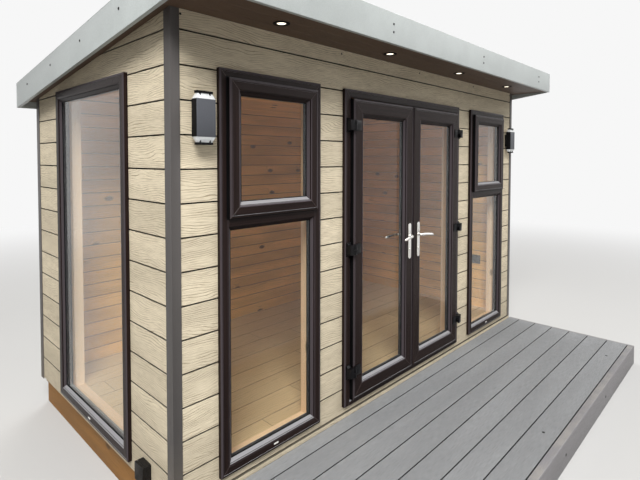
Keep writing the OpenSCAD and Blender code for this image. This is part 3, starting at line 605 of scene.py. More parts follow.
def make_finishes():
    """Every finish of the pod, by name."""
    c = bpy.context.scene.pod_colours
    c = {key: tuple(getattr(c, key)) for key in PodColours.__annotations__}
    pine = dict(lines=0.55, fibre=0.2, tone=0.35, rough=(0.45, 0.6), depth=0.0002)
    return {
        # The cladding, the pine lining and the deck take painted shade in the gaps between their
        # boards
        "cladding": wood("Embossed cladding", c["cladding"], c["cladding_grain"], 0.0102, 7.0,
                         0.5, 0.17, arcs=3.0, fibre=0.4, tone=0.17, rough=(0.62, 0.8),
                         depth=0.0012, splash=0.25, groove="level", specular_ior_level=0.3),
        # Painted shade: a near-black backing stands for the shadow in the cladding's joints
        "joint": coat("Dark joint", colour(16, 13, 11), contrast=0.3, rough=(0.7, 0.9),
                      specular_ior_level=0.1),
        # The foil carries a painted highlight on its edges and painted sky reflection with some dust
        # on its ledges
        "foil": wood("Wood-grain foil", c["foil"], shade(c["foil"], 0.4), 0.0032, 5.0, 0.8, 0.35,
                     lines=0.3, fibre=0.4, tone=0.2, rough=(0.26, 0.4), depth=0.00012, film=0.6,
                     streaks=0.35, specular_ior_level=0.1),
        "weld": coat("Weld line", shade(c["foil"], 3.2), 900.0, 40.0, 0.3, 0.2, (0.35, 0.5)),
        "rubber": coat("Black rubber", colour(9, 9, 10), rough=(0.5, 0.7), specular_ior_level=0.1),
        "spacer": coat("Spacer bar", colour(44, 44, 46), rough=(0.4, 0.5)),
        "glass": glass_finish(),
        "trim": coat("Trim", c["trim"], 500.0, 3.0, 0.25, 0.08, (0.45, 0.6), splash=0.4),
        "fascia": coat("Fascia coat", c["fascia"], 260.0, 6.0, 0.16, 0.05, (0.3, 0.44),
                       depth=0.00015, dust=0.5, specular_ior_level=0.15),
        "soffit": wood("Soffit board", c["soffit"], shade(c["soffit"], 0.45), 0.011, 4.0, 0.6,
                       0.3, lines=0.5, fibre=0.35, tone=0.2, rough=(0.5, 0.65), depth=0.0003),
        "deck": wood("Deck board", c["deck"], shade(c["deck"], 0.6), 0.006, 3.0, 1.2, 0.3,
                     lines=0.25, fibre=0.65, tone=0.14, rough=(0.6, 0.78), depth=0.0004,
                     groove="upright", specular_ior_level=0.3),
        "edging": wood("Deck edging", c["edging"], shade(c["edging"], 0.55), 0.006, 3.0, 1.2,
                       0.3, lines=0.2, fibre=0.45, tone=0.12, rough=(0.5, 0.68), depth=0.0003,
                       splash=0.35),
        "timber": wood("Treated timber", c["timber"], shade(c["timber"], 0.45), 0.012, 7.0, 0.6,
                       0.3, 0.8, lines=0.6, tone=0.35, rough=(0.65, 0.85), on_faces=True,
                       splash=0.1),
        "panel": wood("Panel board", colour(190, 160, 116), colour(120, 92, 58), 0.02, 6.0,
                      on_faces=True),
        "pine": wood("Pine lining", c["pine"], shade(c["pine"], 0.5), 0.012, 7.0, 0.4, 0.32, 1.0,
                     groove="level", **pine),
        "ceiling": wood("Pine ceiling", c["pine"], shade(c["pine"], 0.5), 0.012, 7.0, 0.4, 0.32,
                        1.0, **pine),
        "reveal": wood("Pale pine", c["reveal"], shade(c["reveal"], 0.6), 0.01, 5.0, 0.4, 0.3, 0.7,
                       lines=0.4, fibre=0.2, tone=0.15, rough=(0.45, 0.6), depth=0.0002),
        "planks": planks_finish(c["plank"]),
        "covering": coat("Rubber sheet", c["covering"], 300.0, 1.3, 0.2, 0.1, (0.6, 0.8),
                         depth=0.0003, dust=0.1),
        "lamp_body": coat("Powder coat", c["lamp_body"], 700.0, 9.0, 0.2, 0.05, (0.5, 0.62),
                          depth=0.00015, dust=0.3),
        "matt": coat("Matt black", colour(12, 11, 12), 600.0, 12.0, 0.2, 0.12, (0.6, 0.8),
                     specular_ior_level=0.15),
        "lens": coat("Frosted lens", colour(236, 238, 238), 120.0, 30.0, 0.08, 0.04, (0.2, 0.32)),
        "lamp": lamp_finish(),
        "black": coat("Satin black", colour(14, 13, 15), 600.0, 12.0, 0.2, 0.12, (0.28, 0.42),
                      specular_ior_level=0.15),
        "plastic": coat("Black plastic", colour(17, 16, 17), 350.0, 20.0, 0.3, 0.1, (0.35, 0.55),
                        depth=0.0003, splash=0.05, fleck=colour(90, 88, 84), flecks=0.3,
                        specular_ior_level=0.1),
        "steel": coat("Satin steel", colour(238, 235, 230), 380.0, 14.0, 0.1, 0.05, (0.16, 0.28),
                      metallic=1.0, streak=(1.0, 0.2)),
        "screw": coat("Screw head", colour(96, 94, 92), 800.0, 60.0, 0.2, 0.1, (0.3, 0.5),
                      metallic=0.8),
        "recess": coat("Screw recess", colour(14, 14, 14), 800.0, 60.0, rough=(0.6, 0.8)),
        "plug": coat("Deck plug", colour(96, 96, 99), 500.0, 60.0, rough=(0.6, 0.8)),
        "cap": coat("White cap", colour(226, 224, 218), 500.0, 30.0, 0.06, 0.04, (0.3, 0.45)),
        "socket": coat("Dark socket", colour(52, 50, 50), 500.0, 12.0, rough=(0.3, 0.45)),
    }


FINISHES = {}


# Meshes


def circle(x, y, radius, count=32, hand=1):
    """Points round a level circle, turning one way or the other."""
    turns = [2 * math.pi * k / count for k in range(count)]
    return [(x + radius * math.cos(a), y + hand * radius * math.sin(a)) for a in turns]


def rounded(*corners):
    """Section points from corners (y, d) or (y, d, radius)."""
    made, steps = [], 3
    for i, corner in enumerate(corners):
        here = Vector(corner[:2])
        radius = corner[2] if len(corner) > 2 else 0
        if not radius:
            made.append(tuple(here))
            continue
        before = (Vector(corners[i - 1][:2]) - here).normalized()
        after = (Vector(corners[(i + 1) % len(corners)][:2]) - here).normalized()
        reach = radius / math.tan(max(before.angle(after), 0.2) / 2)
        first, last = here + before * reach, here + after * reach
        for k in range(steps + 1):
            t = k / steps
            made.append(tuple((1 - t) ** 2 * first + 2 * t * (1 - t) * here + t * t * last))
    return made


def tube(count, stops):
    """Faces through so many rings of so many points, with the two ends last."""
    faces = []
    for here in range(0, (stops - 1) * count, count):
        ahead = here + count
        for i in range(count):
            j = (i + 1) % count
            faces.append((here + i, here + j, ahead + j, ahead + i))
    last = (stops - 1) * count
    return faces + [tuple(reversed(range(count))), tuple(range(last, last + count))]


def set_in(section, by):
    """A closed section moved inwards by a small distance."""
    made = []
    for i, here in enumerate(section):
        here = Vector(here)
        before = (here - Vector(section[i - 1])).normalized()
        after = (Vector(section[(i + 1) % len(section)]) - here).normalized()
        inward = Vector((-before.y, before.x)) + Vector((-after.y, after.x))
        made.append(tuple(here + inward * by / max(1 + before.dot(after), 0.3)))
    return made


def turned(axis, angle):
    """A turn about an axis by so many degrees."""
    return Matrix.Rotation(math.radians(angle), 4, axis)


class Shell:
    """Closed solids of one piece, each face with its place along and across the grain."""

    def __init__(self, seed=1):
        self.points, self.faces, self.places, self.slots = [], [], [], []
        self.random = random.Random(seed)

    def add(self, points, faces, places, slot=0):
        """Adds a solid's points and faces."""
        start = len(self.points)
        self.points += [tuple(p) for p in points]
        self.faces += [tuple(start + i for i in face) for face in faces]
        self.places += places
        self.slots += [slot] * len(faces)

    def extrude(self, rings, slot=0, at=Matrix(), end_slot=None):
        """A solid through rings of points that turn the same way, closed at both ends."""
        start = len(self.slots)
        du, dv = self.random.uniform(0, 9), self.random.uniform(0, 9)
        count = len(rings[0])
        round_it = [0.0]
        widest = max(rings, key=lambda r: sum((Vector(r[i]) - Vector(r[i - 1])).length
                                              for i in range(count)))
        for i in range(count):
            step = Vector(widest[(i + 1) % count]) - Vector(widest[i])
            round_it.append(round_it[-1] + step.length)
        places = []
        for here, ahead in zip(rings, rings[1:]):
            for i in range(count):
                j = (i + 1) % count
                places.append([(x / 1000 + du, round_it[k] / 1000 + dv) for x, k in (
                    (here[i][0], i), (here[j][0], i + 1), (ahead[j][0], i + 1), (ahead[i][0], i))])
        for ring in (rings[0][::-1], rings[-1]):
            places.append([(p[1] / 1000 + du, p[2] / 1000 + dv) for p in ring])
        points = [at @ Vector(p) for ring in rings for p in ring]
        self.add(points, tube(count, len(rings)), places, slot)
        if end_slot is not None:
            ends = len(self.slots) - count - 2
            for k in (*range(start, start + count), *range(ends, len(self.slots))):
                self.slots[k] = end_slot

    def bar(self, section, length, ends=("square", "square"), at=Matrix(), slot=0, weld=0.3,
            seam=None):
        """A bar along X whose section lists (y, d) points; a mitred end slopes in by d.

        The last stretch at each end narrows by the weld, and takes the seam's slot if there is one.
        """
        area = sum(section[i - 1][0] * p[1] - p[0] * section[i - 1][1]
                   for i, p in enumerate(section))
        if area < 0:
            section = list(reversed(section))
        inner = set_in(section, weld)
        first, last = [1.0 if end == "mitre" else 0.0 for end in ends]
        steps = [(inner, 0.02), (section, 2 * weld)]
        rings = [[(first * p[1] + run, *p) for p in outline] for outline, run in steps]
        rings += [[(length - last * p[1] - run, *p) for p in outline]
                  for outline, run in reversed(steps)]
        self.extrude(rings, slot, at, end_slot=seam)

    def ring(self, width, height, section, at=Matrix(), slot=0, sill=True, weld=0.1, seam=None):
        """Four mitred bars round a rectangle that stands on the middle of its lower edge."""
        foot = "mitre" if sill else "square"
        sides = [
            (width, (-width / 2, 0, 0), 0, ("mitre", "mitre")),
            (height, (width / 2, 0, 0), -90, (foot, "mitre")),
            (width, (width / 2, 0, height), 180, ("mitre", "mitre")),
            (height, (-width / 2, 0, height), 90, ("mitre", foot)),
        ]
        for run, move, turn, ends in sides[0 if sill else 1:]:
            place = at @ Matrix.Translation(move) @ turned("Y", turn)
            self.bar(section, run, ends, place, slot, weld, seam)

    def block(self, low, high, edge=0.0, at=Matrix()):
        """A box between two corners, with its long edges rounded, its grain along X."""
        low, high = Vector(low), Vector(high)
        section = rounded(*[(y, z, edge) if edge else (y, z) for y, z in (
            (low.y, low.z), (high.y, low.z), (high.y, high.z), (low.y, high.z))])
        self.extrude([[(x, *p) for p in section] for x in (low.x, high.x)], at=at)

    def prism(self, x0, x1, outline):
        """A prism along X whose outline lists (y, z) points, counter-clockwise."""
        self.extrude([[(x, *p) for p in outline] for x in (x0, x1)])

    def sweep(self, path, radii, count=20):
        """A tube through points, with an upright and a level radius at each."""
        path = [Vector(p) for p in path]
        rings = []
        side = Vector((0, 0, 1))
        for i, here in enumerate(path):
            ahead = (path[min(i + 1, len(path) - 1)] - path[max(i - 1, 0)]).normalized()
            across = ahead.cross(side).normalized()
            up, level = radii[i]
            rings.append([here + side * math.sin(a) * up + across * math.cos(a) * level
                          for a in (2 * math.pi * k / count for k in range(count))])
        normal = (rings[0][1] - rings[0][0]).cross(path[1] - path[0])
        if normal.dot(rings[0][0] - path[0]) < 0:
            rings = [list(reversed(r)) for r in rings]
        faces = tube(count, len(rings))
        self.add([p for ring in rings for p in ring], faces, [[(0.0, 0.0)] * len(f) for f in faces])

    def mesh(self, name):
        """The solids as one mesh."""
        made = bpy.data.meshes.new(name)
        made.from_pydata([metres(p) for p in self.points], [], self.faces)
        layer = made.uv_layers.new(name="UVMap")
        layer.data.foreach_set("uv", [part for face in self.places for spot in face
                                      for part in spot])
        made.polygons.foreach_set("material_index", self.slots)
        made.update()
        return made


def placed(name, data):
    """A new object in the scene."""
    made = bpy.data.objects.new(name, data)
    bpy.context.scene.collection.objects.link(made)
    return made


def piece(name, mesh, finishes, body, replaces=()):
    """An object of the pod that rides on a body and takes its finish from a slot."""
    made = placed(name, mesh)
    slots = [0] * len(mesh.polygons)
    mesh.polygons.foreach_get("material_index", slots)
    mesh.materials.clear()
    for key in finishes:
        mesh.materials.append(FINISHES[key])
    mesh.polygons.foreach_set("material_index", slots)
    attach(made, body)
    if replaces:
        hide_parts(*replaces)
    return made


def smooth(mesh, angle):
    """Smooth faces with sharp edges past an angle."""
    mesh.shade_smooth()
    mesh.set_sharp_from_angle(angle=math.radians(angle))


def evaluated(made, name):
    """The mesh of an object with its modifiers, which is then removed."""
    bpy.context.view_layer.update()
    graph = bpy.context.evaluated_depsgraph_get()
    mesh = bpy.data.meshes.new_from_object(made.evaluated_get(graph), depsgraph=graph,
                                           preserve_all_data_layers=True)
    mesh.name = name
    bpy.data.objects.remove(made)
    return mesh


def softened(cad_node, name, finishes, body, width, pick=None, grain=None):
    """A copy of a CAD node with its edges rounded, which then stands for it.

    The width is in metres. Pick gives a face's finish and grain the axis that its grain follows.
    """
    shell = bmesh.new()
    shell.from_mesh(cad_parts[cad_node].data)
    bmesh.ops.remove_doubles(shell, verts=shell.verts, dist=1e-5)
    bmesh.ops.dissolve_limit(shell, angle_limit=math.radians(0.4), verts=shell.verts,
                             edges=shell.edges, use_dissolve_boundaries=False)
    mesh = bpy.data.meshes.new(name)
    shell.to_mesh(mesh)
    shell.free()
    mesh.shade_smooth()
    made = placed(name, mesh)
    bevel = made.modifiers.new("Soft edges", "BEVEL")
    bevel.limit_method, bevel.angle_limit = "ANGLE", math.radians(30)
    bevel.width = width
    bevel.segments, bevel.harden_normals = 2, True
    mesh = evaluated(made, name)
    layer = mesh.uv_layers.get("UVMap") or mesh.uv_layers.new(name="UVMap")
    for face in mesh.polygons:
        centre = face.center * 1000
        centre.y -= FRONT
        if pick:
            face.material_index = pick(centre, face.normal)
        if grain:
            flat = max(range(3), key=lambda k: abs(face.normal[k]))
            along = grain(centre)
            along = along if along != flat else (flat + 1) % 3
            across = 3 - flat - along
            for corner in face.loop_indices:
                co = mesh.vertices[mesh.loops[corner].vertex_index].co
                layer.data[corner].uv = (co[along] + 3.3 * along, co[across] + 1.7 * flat)
    return piece(name, mesh, finishes, body, (cad_node,))


# Geometry Nodes


def boards_tree():
    """Rows of long boards with rounded edges, less the shapes that cut them."""
    tree, given, out = group("Rows of boards", "GeometryNodeTree", [
        ("Cutters", "NodeSocketGeometry", None), ("Length", NUMBER, 1.0), ("Pitch", NUMBER, 0.15),
        ("Gap", NUMBER, 0.005), ("Thickness", NUMBER, 0.012), ("Edge", NUMBER, 0.001),
        ("Edge Steps", "NodeSocketInt", 3), ("Rows", "NodeSocketInt", 4), ("Place", VECTOR, None),
        ("Turn", "NodeSocketRotation", None), ("Seed", "NodeSocketInt", 1),
        ("Cut", "NodeSocketBool", True), ("Finish", "NodeSocketMaterial", None),
    ], [("Boards", "NodeSocketGeometry")])
    width = calc(tree, "SUBTRACT", given["Pitch"], given["Gap"])
    section = node(tree, "GeometryNodeCurvePrimitiveQuadrilateral", {
        "Width": width, "Height": given["Thickness"]})
    section = node(tree, "GeometryNodeFilletCurve", {
        "Curve": section, "Count": given["Edge Steps"], "Radius": given["Edge"]},
        mode="POLY")
    end = node(tree, "ShaderNodeCombineXYZ", {0: given["Length"]})
    run = node(tree, "GeometryNodeCurvePrimitiveLine", {"End": end})
    run = node(tree, "GeometryNodeSetCurveNormal", {"Curve": run}, mode="Z_UP")
    board = node(tree, "GeometryNodeCurveToMesh", {
        "Curve": run, "Profile Curve": section, "Fill Caps": True})
    middle = node(tree, "ShaderNodeCombineXYZ", {
        1: times(tree, given["Pitch"], 0.5),
        2: times(tree, given["Thickness"], -0.5)})
    board = node(tree, "GeometryNodeTransform", {
        "Geometry": board, "Translation": middle})
    step = node(tree, "ShaderNodeCombineXYZ", {1: given["Pitch"]})
    rows = node(tree, "GeometryNodeMeshLine", {"Count": given["Rows"], "Offset": step},
                mode="OFFSET")
    rows = node(tree, "GeometryNodeInstanceOnPoints", {
        "Points": rows, "Instance": board})
    chance = node(tree, "FunctionNodeRandomValue", {
        "Max": (9.0, 9.0, 0.0), "ID": node(tree, "GeometryNodeInputIndex"),
        "Seed": given["Seed"]}, data_type="FLOAT_VECTOR")
    rows = node(tree, "GeometryNodeStoreNamedAttribute", {
        "Geometry": rows, "Name": "shift", "Value": chance},
        data_type="FLOAT_VECTOR", domain="INSTANCE")
    rows = node(tree, "GeometryNodeRealizeInstances", {"Geometry": rows})
    x, y, z = split(tree, node(tree, "GeometryNodeInputPosition"))
    flat = node(tree, "ShaderNodeCombineXYZ", {0: x, 1: calc(tree, "ADD", y, z)})
    shift = node(tree, "GeometryNodeInputNamedAttribute", {"Name": "shift"},
                 data_type="FLOAT_VECTOR")
    spot = node(tree, "ShaderNodeVectorMath", {0: flat, 1: shift},
                operation="ADD")
    rows = node(tree, "GeometryNodeStoreNamedAttribute", {
        "Geometry": rows, "Name": "UVMap", "Value": spot},
        data_type="FLOAT2", domain="CORNER")
    rows = node(tree, "GeometryNodeTransform", {
        "Geometry": rows, "Translation": given["Place"], "Rotation": given["Turn"]})
    less = node(tree, "GeometryNodeMeshBoolean", {
        "Mesh 1": rows, "Mesh 2": given["Cutters"]},
        operation="DIFFERENCE", solver="EXACT")
    chosen = node(tree, "GeometryNodeSwitch", {
        "Switch": given["Cut"], "False": rows, "True": less},
        input_type="GEOMETRY")
    plain = node(tree, "GeometryNodeRemoveAttribute", {
        "Geometry": chosen, "Name": "shift"})
    plain = node(tree, "GeometryNodeRealizeInstances", {"Geometry": plain})
    done = node(tree, "GeometryNodeSetMaterial", {
        "Geometry": plain, "Material": given["Finish"]})
    tree.links.new(done.outputs[0], out["Boards"])
    tree.is_modifier = True
    return tree


def heads_tree():
    """A screw head or plug at every point, facing the way its point says."""
    tree, given, out = group("Heads at points", "GeometryNodeTree", [
        ("Points", "NodeSocketGeometry", None), ("Radius", NUMBER, 0.006),
        ("Height", NUMBER, 0.002), ("Taper", NUMBER, 0.75), ("Recess", NUMBER, 0.4),
        ("Seed", "NodeSocketInt", 3),
        ("Finish", "NodeSocketMaterial", None), ("Recess Finish", "NodeSocketMaterial", None),
    ], [("Heads", "NodeSocketGeometry")])
    head = node(tree, "GeometryNodeMeshCone", {
        "Vertices": 16, "Radius Top": times(tree, given["Radius"], given["Taper"]),
        "Radius Bottom": given["Radius"], "Depth": given["Height"]})
    head = node(tree, "GeometryNodeSetMaterial", {
        "Geometry": head, "Material": given["Finish"]})
    slot = node(tree, "GeometryNodeMeshCylinder", {
        "Vertices": 6, "Radius": times(tree, given["Radius"], given["Recess"]),
        "Depth": times(tree, given["Height"], 0.5)})
    up = node(tree, "ShaderNodeCombineXYZ", {2: times(tree, given["Height"], 0.77)})
    slot = node(tree, "GeometryNodeTransform", {
        "Geometry": slot, "Translation": up})
    slot = node(tree, "GeometryNodeSetMaterial", {
        "Geometry": slot, "Material": given["Recess Finish"]})
    both = tree.nodes.new("GeometryNodeJoinGeometry")
    for part in (slot, head):
        tree.links.new(part.outputs[0], both.inputs[0])
    facing = node(tree, "GeometryNodeInputNamedAttribute", {"Name": "facing"},
                  data_type="FLOAT_VECTOR")
    turn = node(tree, "FunctionNodeAlignRotationToVector", {"Vector": facing}, axis="Z")
    spin = node(tree, "FunctionNodeRandomValue", {
        "Max": 6.28, "ID": node(tree, "GeometryNodeInputIndex"), "Seed": given["Seed"]})
    spun = node(tree, "FunctionNodeRotateRotation", {
        "Rotation": turn, "Rotate By": node(tree, "FunctionNodeAxisAngleToRotation", {
            "Axis": (0, 0, 1), "Angle": spin.outputs[1]})}, rotation_space="LOCAL")
    heads = node(tree, "GeometryNodeInstanceOnPoints", {
        "Points": given["Points"], "Instance": both, "Rotation": spun})
    heads = node(tree, "GeometryNodeRealizeInstances", {"Geometry": heads})
    tree.links.new(heads.outputs[0], out["Heads"])
    tree.is_modifier = True
    return tree


TREES = {"Rows of boards": boards_tree, "Heads at points": heads_tree}


def grown(name, base, tree_name, values):
    """The plain mesh that a Geometry Nodes tree makes from a base mesh."""
    tree = bpy.data.node_groups.get(tree_name) or TREES[tree_name]()
    made = placed(name, base)
    modifier = made.modifiers.new(tree_name, "NODES")
    modifier.node_group = tree
    for item in tree.interface.items_tree:
        if item.item_type == "SOCKET" and item.in_out == "INPUT" and item.name in values:
            modifier[item.identifier] = values[item.name]
    return evaluated(made, name)


def boards(name, finish, rows, run, pitch, gap, thick, edge, at, turn=(0, 0, 0), cut=None, seed=1,
           steps=3):
    """The mesh of rows of boards whose visible face is up before they are turned."""
    made = grown(name, (cut or Shell()).mesh(name + ".cut"), "Rows of boards", {
        "Length": run / 1000, "Pitch": pitch / 1000, "Gap": gap / 1000, "Thickness": thick / 1000,
        "Edge": edge / 1000, "Edge Steps": steps, "Rows": rows, "Place": metres(at),
        "Turn": tuple(math.radians(a) for a in turn), "Seed": seed, "Cut": bool(cut),
        "Finish": FINISHES[finish]})
    made.shade_flat()
    return made


def joined(name, meshes):
    """One mesh from several, with their materials kept apart, and the finishes' names."""
    shell, names = bmesh.new(), []
    for mesh in meshes:
        start = len(shell.faces)
        shell.from_mesh(mesh)
        own = [key for m in mesh.materials for key, finish in FINISHES.items() if finish == m]
        names += [key for key in own if key not in names]
        shell.faces.ensure_lookup_table()
        for face in shell.faces[start:]:
            face.material_index = names.index(own[min(face.material_index, len(own) - 1)])
    made = bpy.data.meshes.new(name)
    shell.to_mesh(made)
    shell.free()
    return made, names


def openings():
    """Blocks through the four openings, well past both sides of the walls."""
    cut, out, into = Shell(), 200, 400
    for x, width in ((-WINDOW_X, WINDOW_W), (0, DOOR_W), (WINDOW_X, WINDOW_W)):
        cut.block((x - width / 2, -out, FLOOR_Z), (x + width / 2, into, HEAD_Z))
    cut.block((-HALF_W - out, SIDE_WINDOW_Y - SIDE_WINDOW_W / 2, FLOOR_Z),
              (-HALF_W + into, SIDE_WINDOW_Y + SIDE_WINDOW_W / 2, HEAD_Z))
    return cut


def under_roof(cut, below):
    """Adds a block over the slope of the roof, a distance below the roof panel."""
    side, front, back, top = 2200, -300, 2200, 3200
    cut.prism(-side, side, [(front, roof_z(front) - below), (back, roof_z(back) - below),
                            (back, top), (front, top)])
    return cut


def window_places():
    """Where each glazed frame stands: the two front windows and the side window."""
    return [Matrix.Translation((s * WINDOW_X, 0, FLOOR_Z)) for s in (-1, 1)] + [
        Matrix.Translation((-HALF_W, SIDE_WINDOW_Y, FLOOR_Z)) @ turned("Z", -90)]


def leaf_place(s):
    """Where a leaf stands: the left one for -1 and the right one for 1."""
    return Matrix.Translation((s * LEAF_X, 0, LEAF_Z))


def raised(at, height):
    """A place moved up."""
    return at @ Matrix.Translation((0, 0, height))


def light(width, height, face, glass_y, at):
    """Size, glass and place of the opening in a frame of this outer size and face."""
    return width - 2 * face, height - 2 * face, glass_y, raised(at, face)


def front_lights(at):
    """The fixed light and the sash's light of a front window."""
    return (light(WINDOW_W, LIGHT_H + 2 * FRAME_FACE, FRAME_FACE, 0, at),
            light(SASH_W, SASH_H, SASH_FACE, LEAF_FRONT + GLASS_BACK, raised(at, SASH_Z)))


def side_light():
    """The light of the side window."""
    return light(SIDE_WINDOW_W, TALL, FRAME_FACE, 0, window_places()[2])


def leaf_light(s):
    """The light of a door leaf."""
    return light(LEAF_W, LEAF_H, LEAF_FACE, LEAF_FRONT + GLASS_BACK, leaf_place(s))


def frame_edge(front):
    """Outer edge of a frame's section: a slope and the fine groove beside it."""
    return ((front + 3, 0, 0.8), (front, 10, 0.8), (front, 11.4), (front + 1.2, 12),
            (front + 1.2, 13.4), (front, 14), (front, 40, 0.5), (front + 2, FRAME_FACE, 1.5))


def sash_section(slope, face, rebate, lap, back):
    """Section of a sash or leaf: its slope, the groove beside it, its face and the lap behind."""
    front = LEAF_FRONT
    return rounded((rebate, 0, 1), (front + 3, 0, 1), (front, slope, 0.8),
                   (front + 1.6, slope + 0.8), (front + 1.6, slope + 3), (front, slope + 3.8),
                   (front, face - 7, 1), (front + 2, face, 1), (back, face, 1.5), (back, lap, 1.5),
                   (rebate, lap))


def outer_seal_and_shade(front, sash_front):
    """Section of the black seal that lines the side of a sash and lips over its frame: partly its
    gasket, partly painted shade in the gap.
    """
    return ((front - 0.3, -6), (front - 0.3, -0.4), (sash_front + 5, -0.4), (sash_front + 5, 0.2),
            (front + 1, 0.2), (front + 1, -6))


def box_section(y0, y1, low, high, radius=0):
    """A plain rectangle's section."""
    return rounded(*[(y, d, radius) for y, d in ((y0, low), (y1, low), (y1, high), (y0, high))])


def glazing(shell, width, height, glass_y, at):
    """Beads, gaskets and the lip behind the glass, in a light that stands on z = 0."""
    back = glass_y + UNIT
    bead = rounded((glass_y - 14, 0), (glass_y - 14, 2.5, 1), (glass_y - 3, BEAD, 1.2),
                   (glass_y - 0.2, BEAD), (glass_y - 0.2, 0))
    gasket = rounded((glass_y - 3.4, BEAD - 0.4), (glass_y - 2.4, BEAD + 2.5, 0.8),
                     (glass_y - 0.1, BEAD + 2.5), (glass_y - 0.1, BEAD - 0.4))
    lip = rounded((back, 0), (back, BEAD), (back + 3, BEAD, 1), (back + 10, BEAD / 2, 2),
                  (back + 10, 0))
    shell.ring(width, height, bead, at, weld=0.35)
    shell.ring(width, height, gasket, at, RUBBER)
    shell.ring(width, height, lip, at, weld=0.35)


def sealed_unit(panes, spacers, width, height, glass_y, at):
    """Two sheets of glass and the spacer between them."""
    joinery = bpy.context.scene.pod_joinery
    sheet, seen = joinery.pane * 1000, joinery.spacer * 1000
    inset = 8.3
    for y in (glass_y + 0.1, glass_y + UNIT - 0.1 - sheet):
        panes.block((-width / 2 + inset, y, inset), (width / 2 - inset, y + sheet, height - inset),
                    edge=0.4, at=at)
    first, last = glass_y + 0.3 + sheet, glass_y + UNIT - 0.3 - sheet
    section = rounded((first, inset + 0.5), (first, BEAD + seen), (last, BEAD + seen),
                      (last, inset + 0.5))
    spacers.ring(width, height, section, at, weld=0.2)


# Operators


class PodOperator:
    """Options of every operator of the pod"""
    bl_options = {"REGISTER", "UNDO"}


class POD_OT_finishes(PodOperator, bpy.types.Operator):
    """Makes every finish, and gives the structure that stays as it is its finish"""
    bl_idname = "pod.finishes"
    bl_label = "Finishes"

    def execute(self, context):
        FINISHES.update(make_finishes())
        for key, names in {
            "timber": ("base_frame", "deck_frame", "floor_panel"),
            "panel": ("left_wall", "right_wall", "back_wall", "front_wall_piers",
                      "front_wall_header", "roof_panel"),
        }.items():
            for name in names:
                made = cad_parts[name]
                made.data.materials.clear()
                made.data.materials.append(FINISHES[key])
        return {"FINISHED"}


class POD_OT_cladding(PodOperator, bpy.types.Operator):
    """Composite boards on the four walls over a near-black backing that paints the shade in their
    joints, corner trims and the starter strip
    """
    bl_idname = "pod.cladding"
    bl_label = "Cladding"

    def execute(self, context):
        sizes = context.scene.pod_boards
        pitch, gap, edge = [1000 * v for v in (
            sizes.cladding_pitch, sizes.cladding_gap, sizes.cladding_edge)]
        rows, thick, backing, below, skin = 15, 12, 8.5, 3, 22
        depth = DEPTH - 2 * skin
        walls = (("front", 2 * HALF_W, (-HALF_W, 0), 0), ("back", 2 * HALF_W, (HALF_W, DEPTH), 180),
                 ("left", depth, (-HALF_W, DEPTH - skin), -90), ("right", depth, (HALF_W, skin), 90))
        for index, (side, run, (x, y), turn) in enumerate(walls):
            face = boards(side, "cladding", rows, run, pitch, gap, thick, edge, (x, y, CLAD_Z + 5),
                          (90, 0, turn), under_roof(openings(), below), seed=7 + index)
            inward = turned("Z", turn) @ Vector((0, 1, 0)) * (thick + 0.5)
            # A near-black backing behind the boards, as painted shade in their joints
            shade_backing = boards(side, "joint", 1, run, rows * pitch + 4, 0, backing, 0.2,
                          (x + inward.x, y + inward.y, CLAD_Z + 1), (90, 0, turn),
                          under_roof(openings(), below))
            mesh, keys = joined(side + "_cladding_boards", [face, shade_backing])
            piece(side + "_cladding_boards", mesh, keys, "pod", (side + "_cladding",))
        softened("corner_trims", "corner_trim_angles", ["trim"], "pod", 0.0025)
        softened("starter_strip", "starter_board", ["cladding"], "pod", 0.002,
                 grain=lambda at: 0)
        return {"FINISHED"}


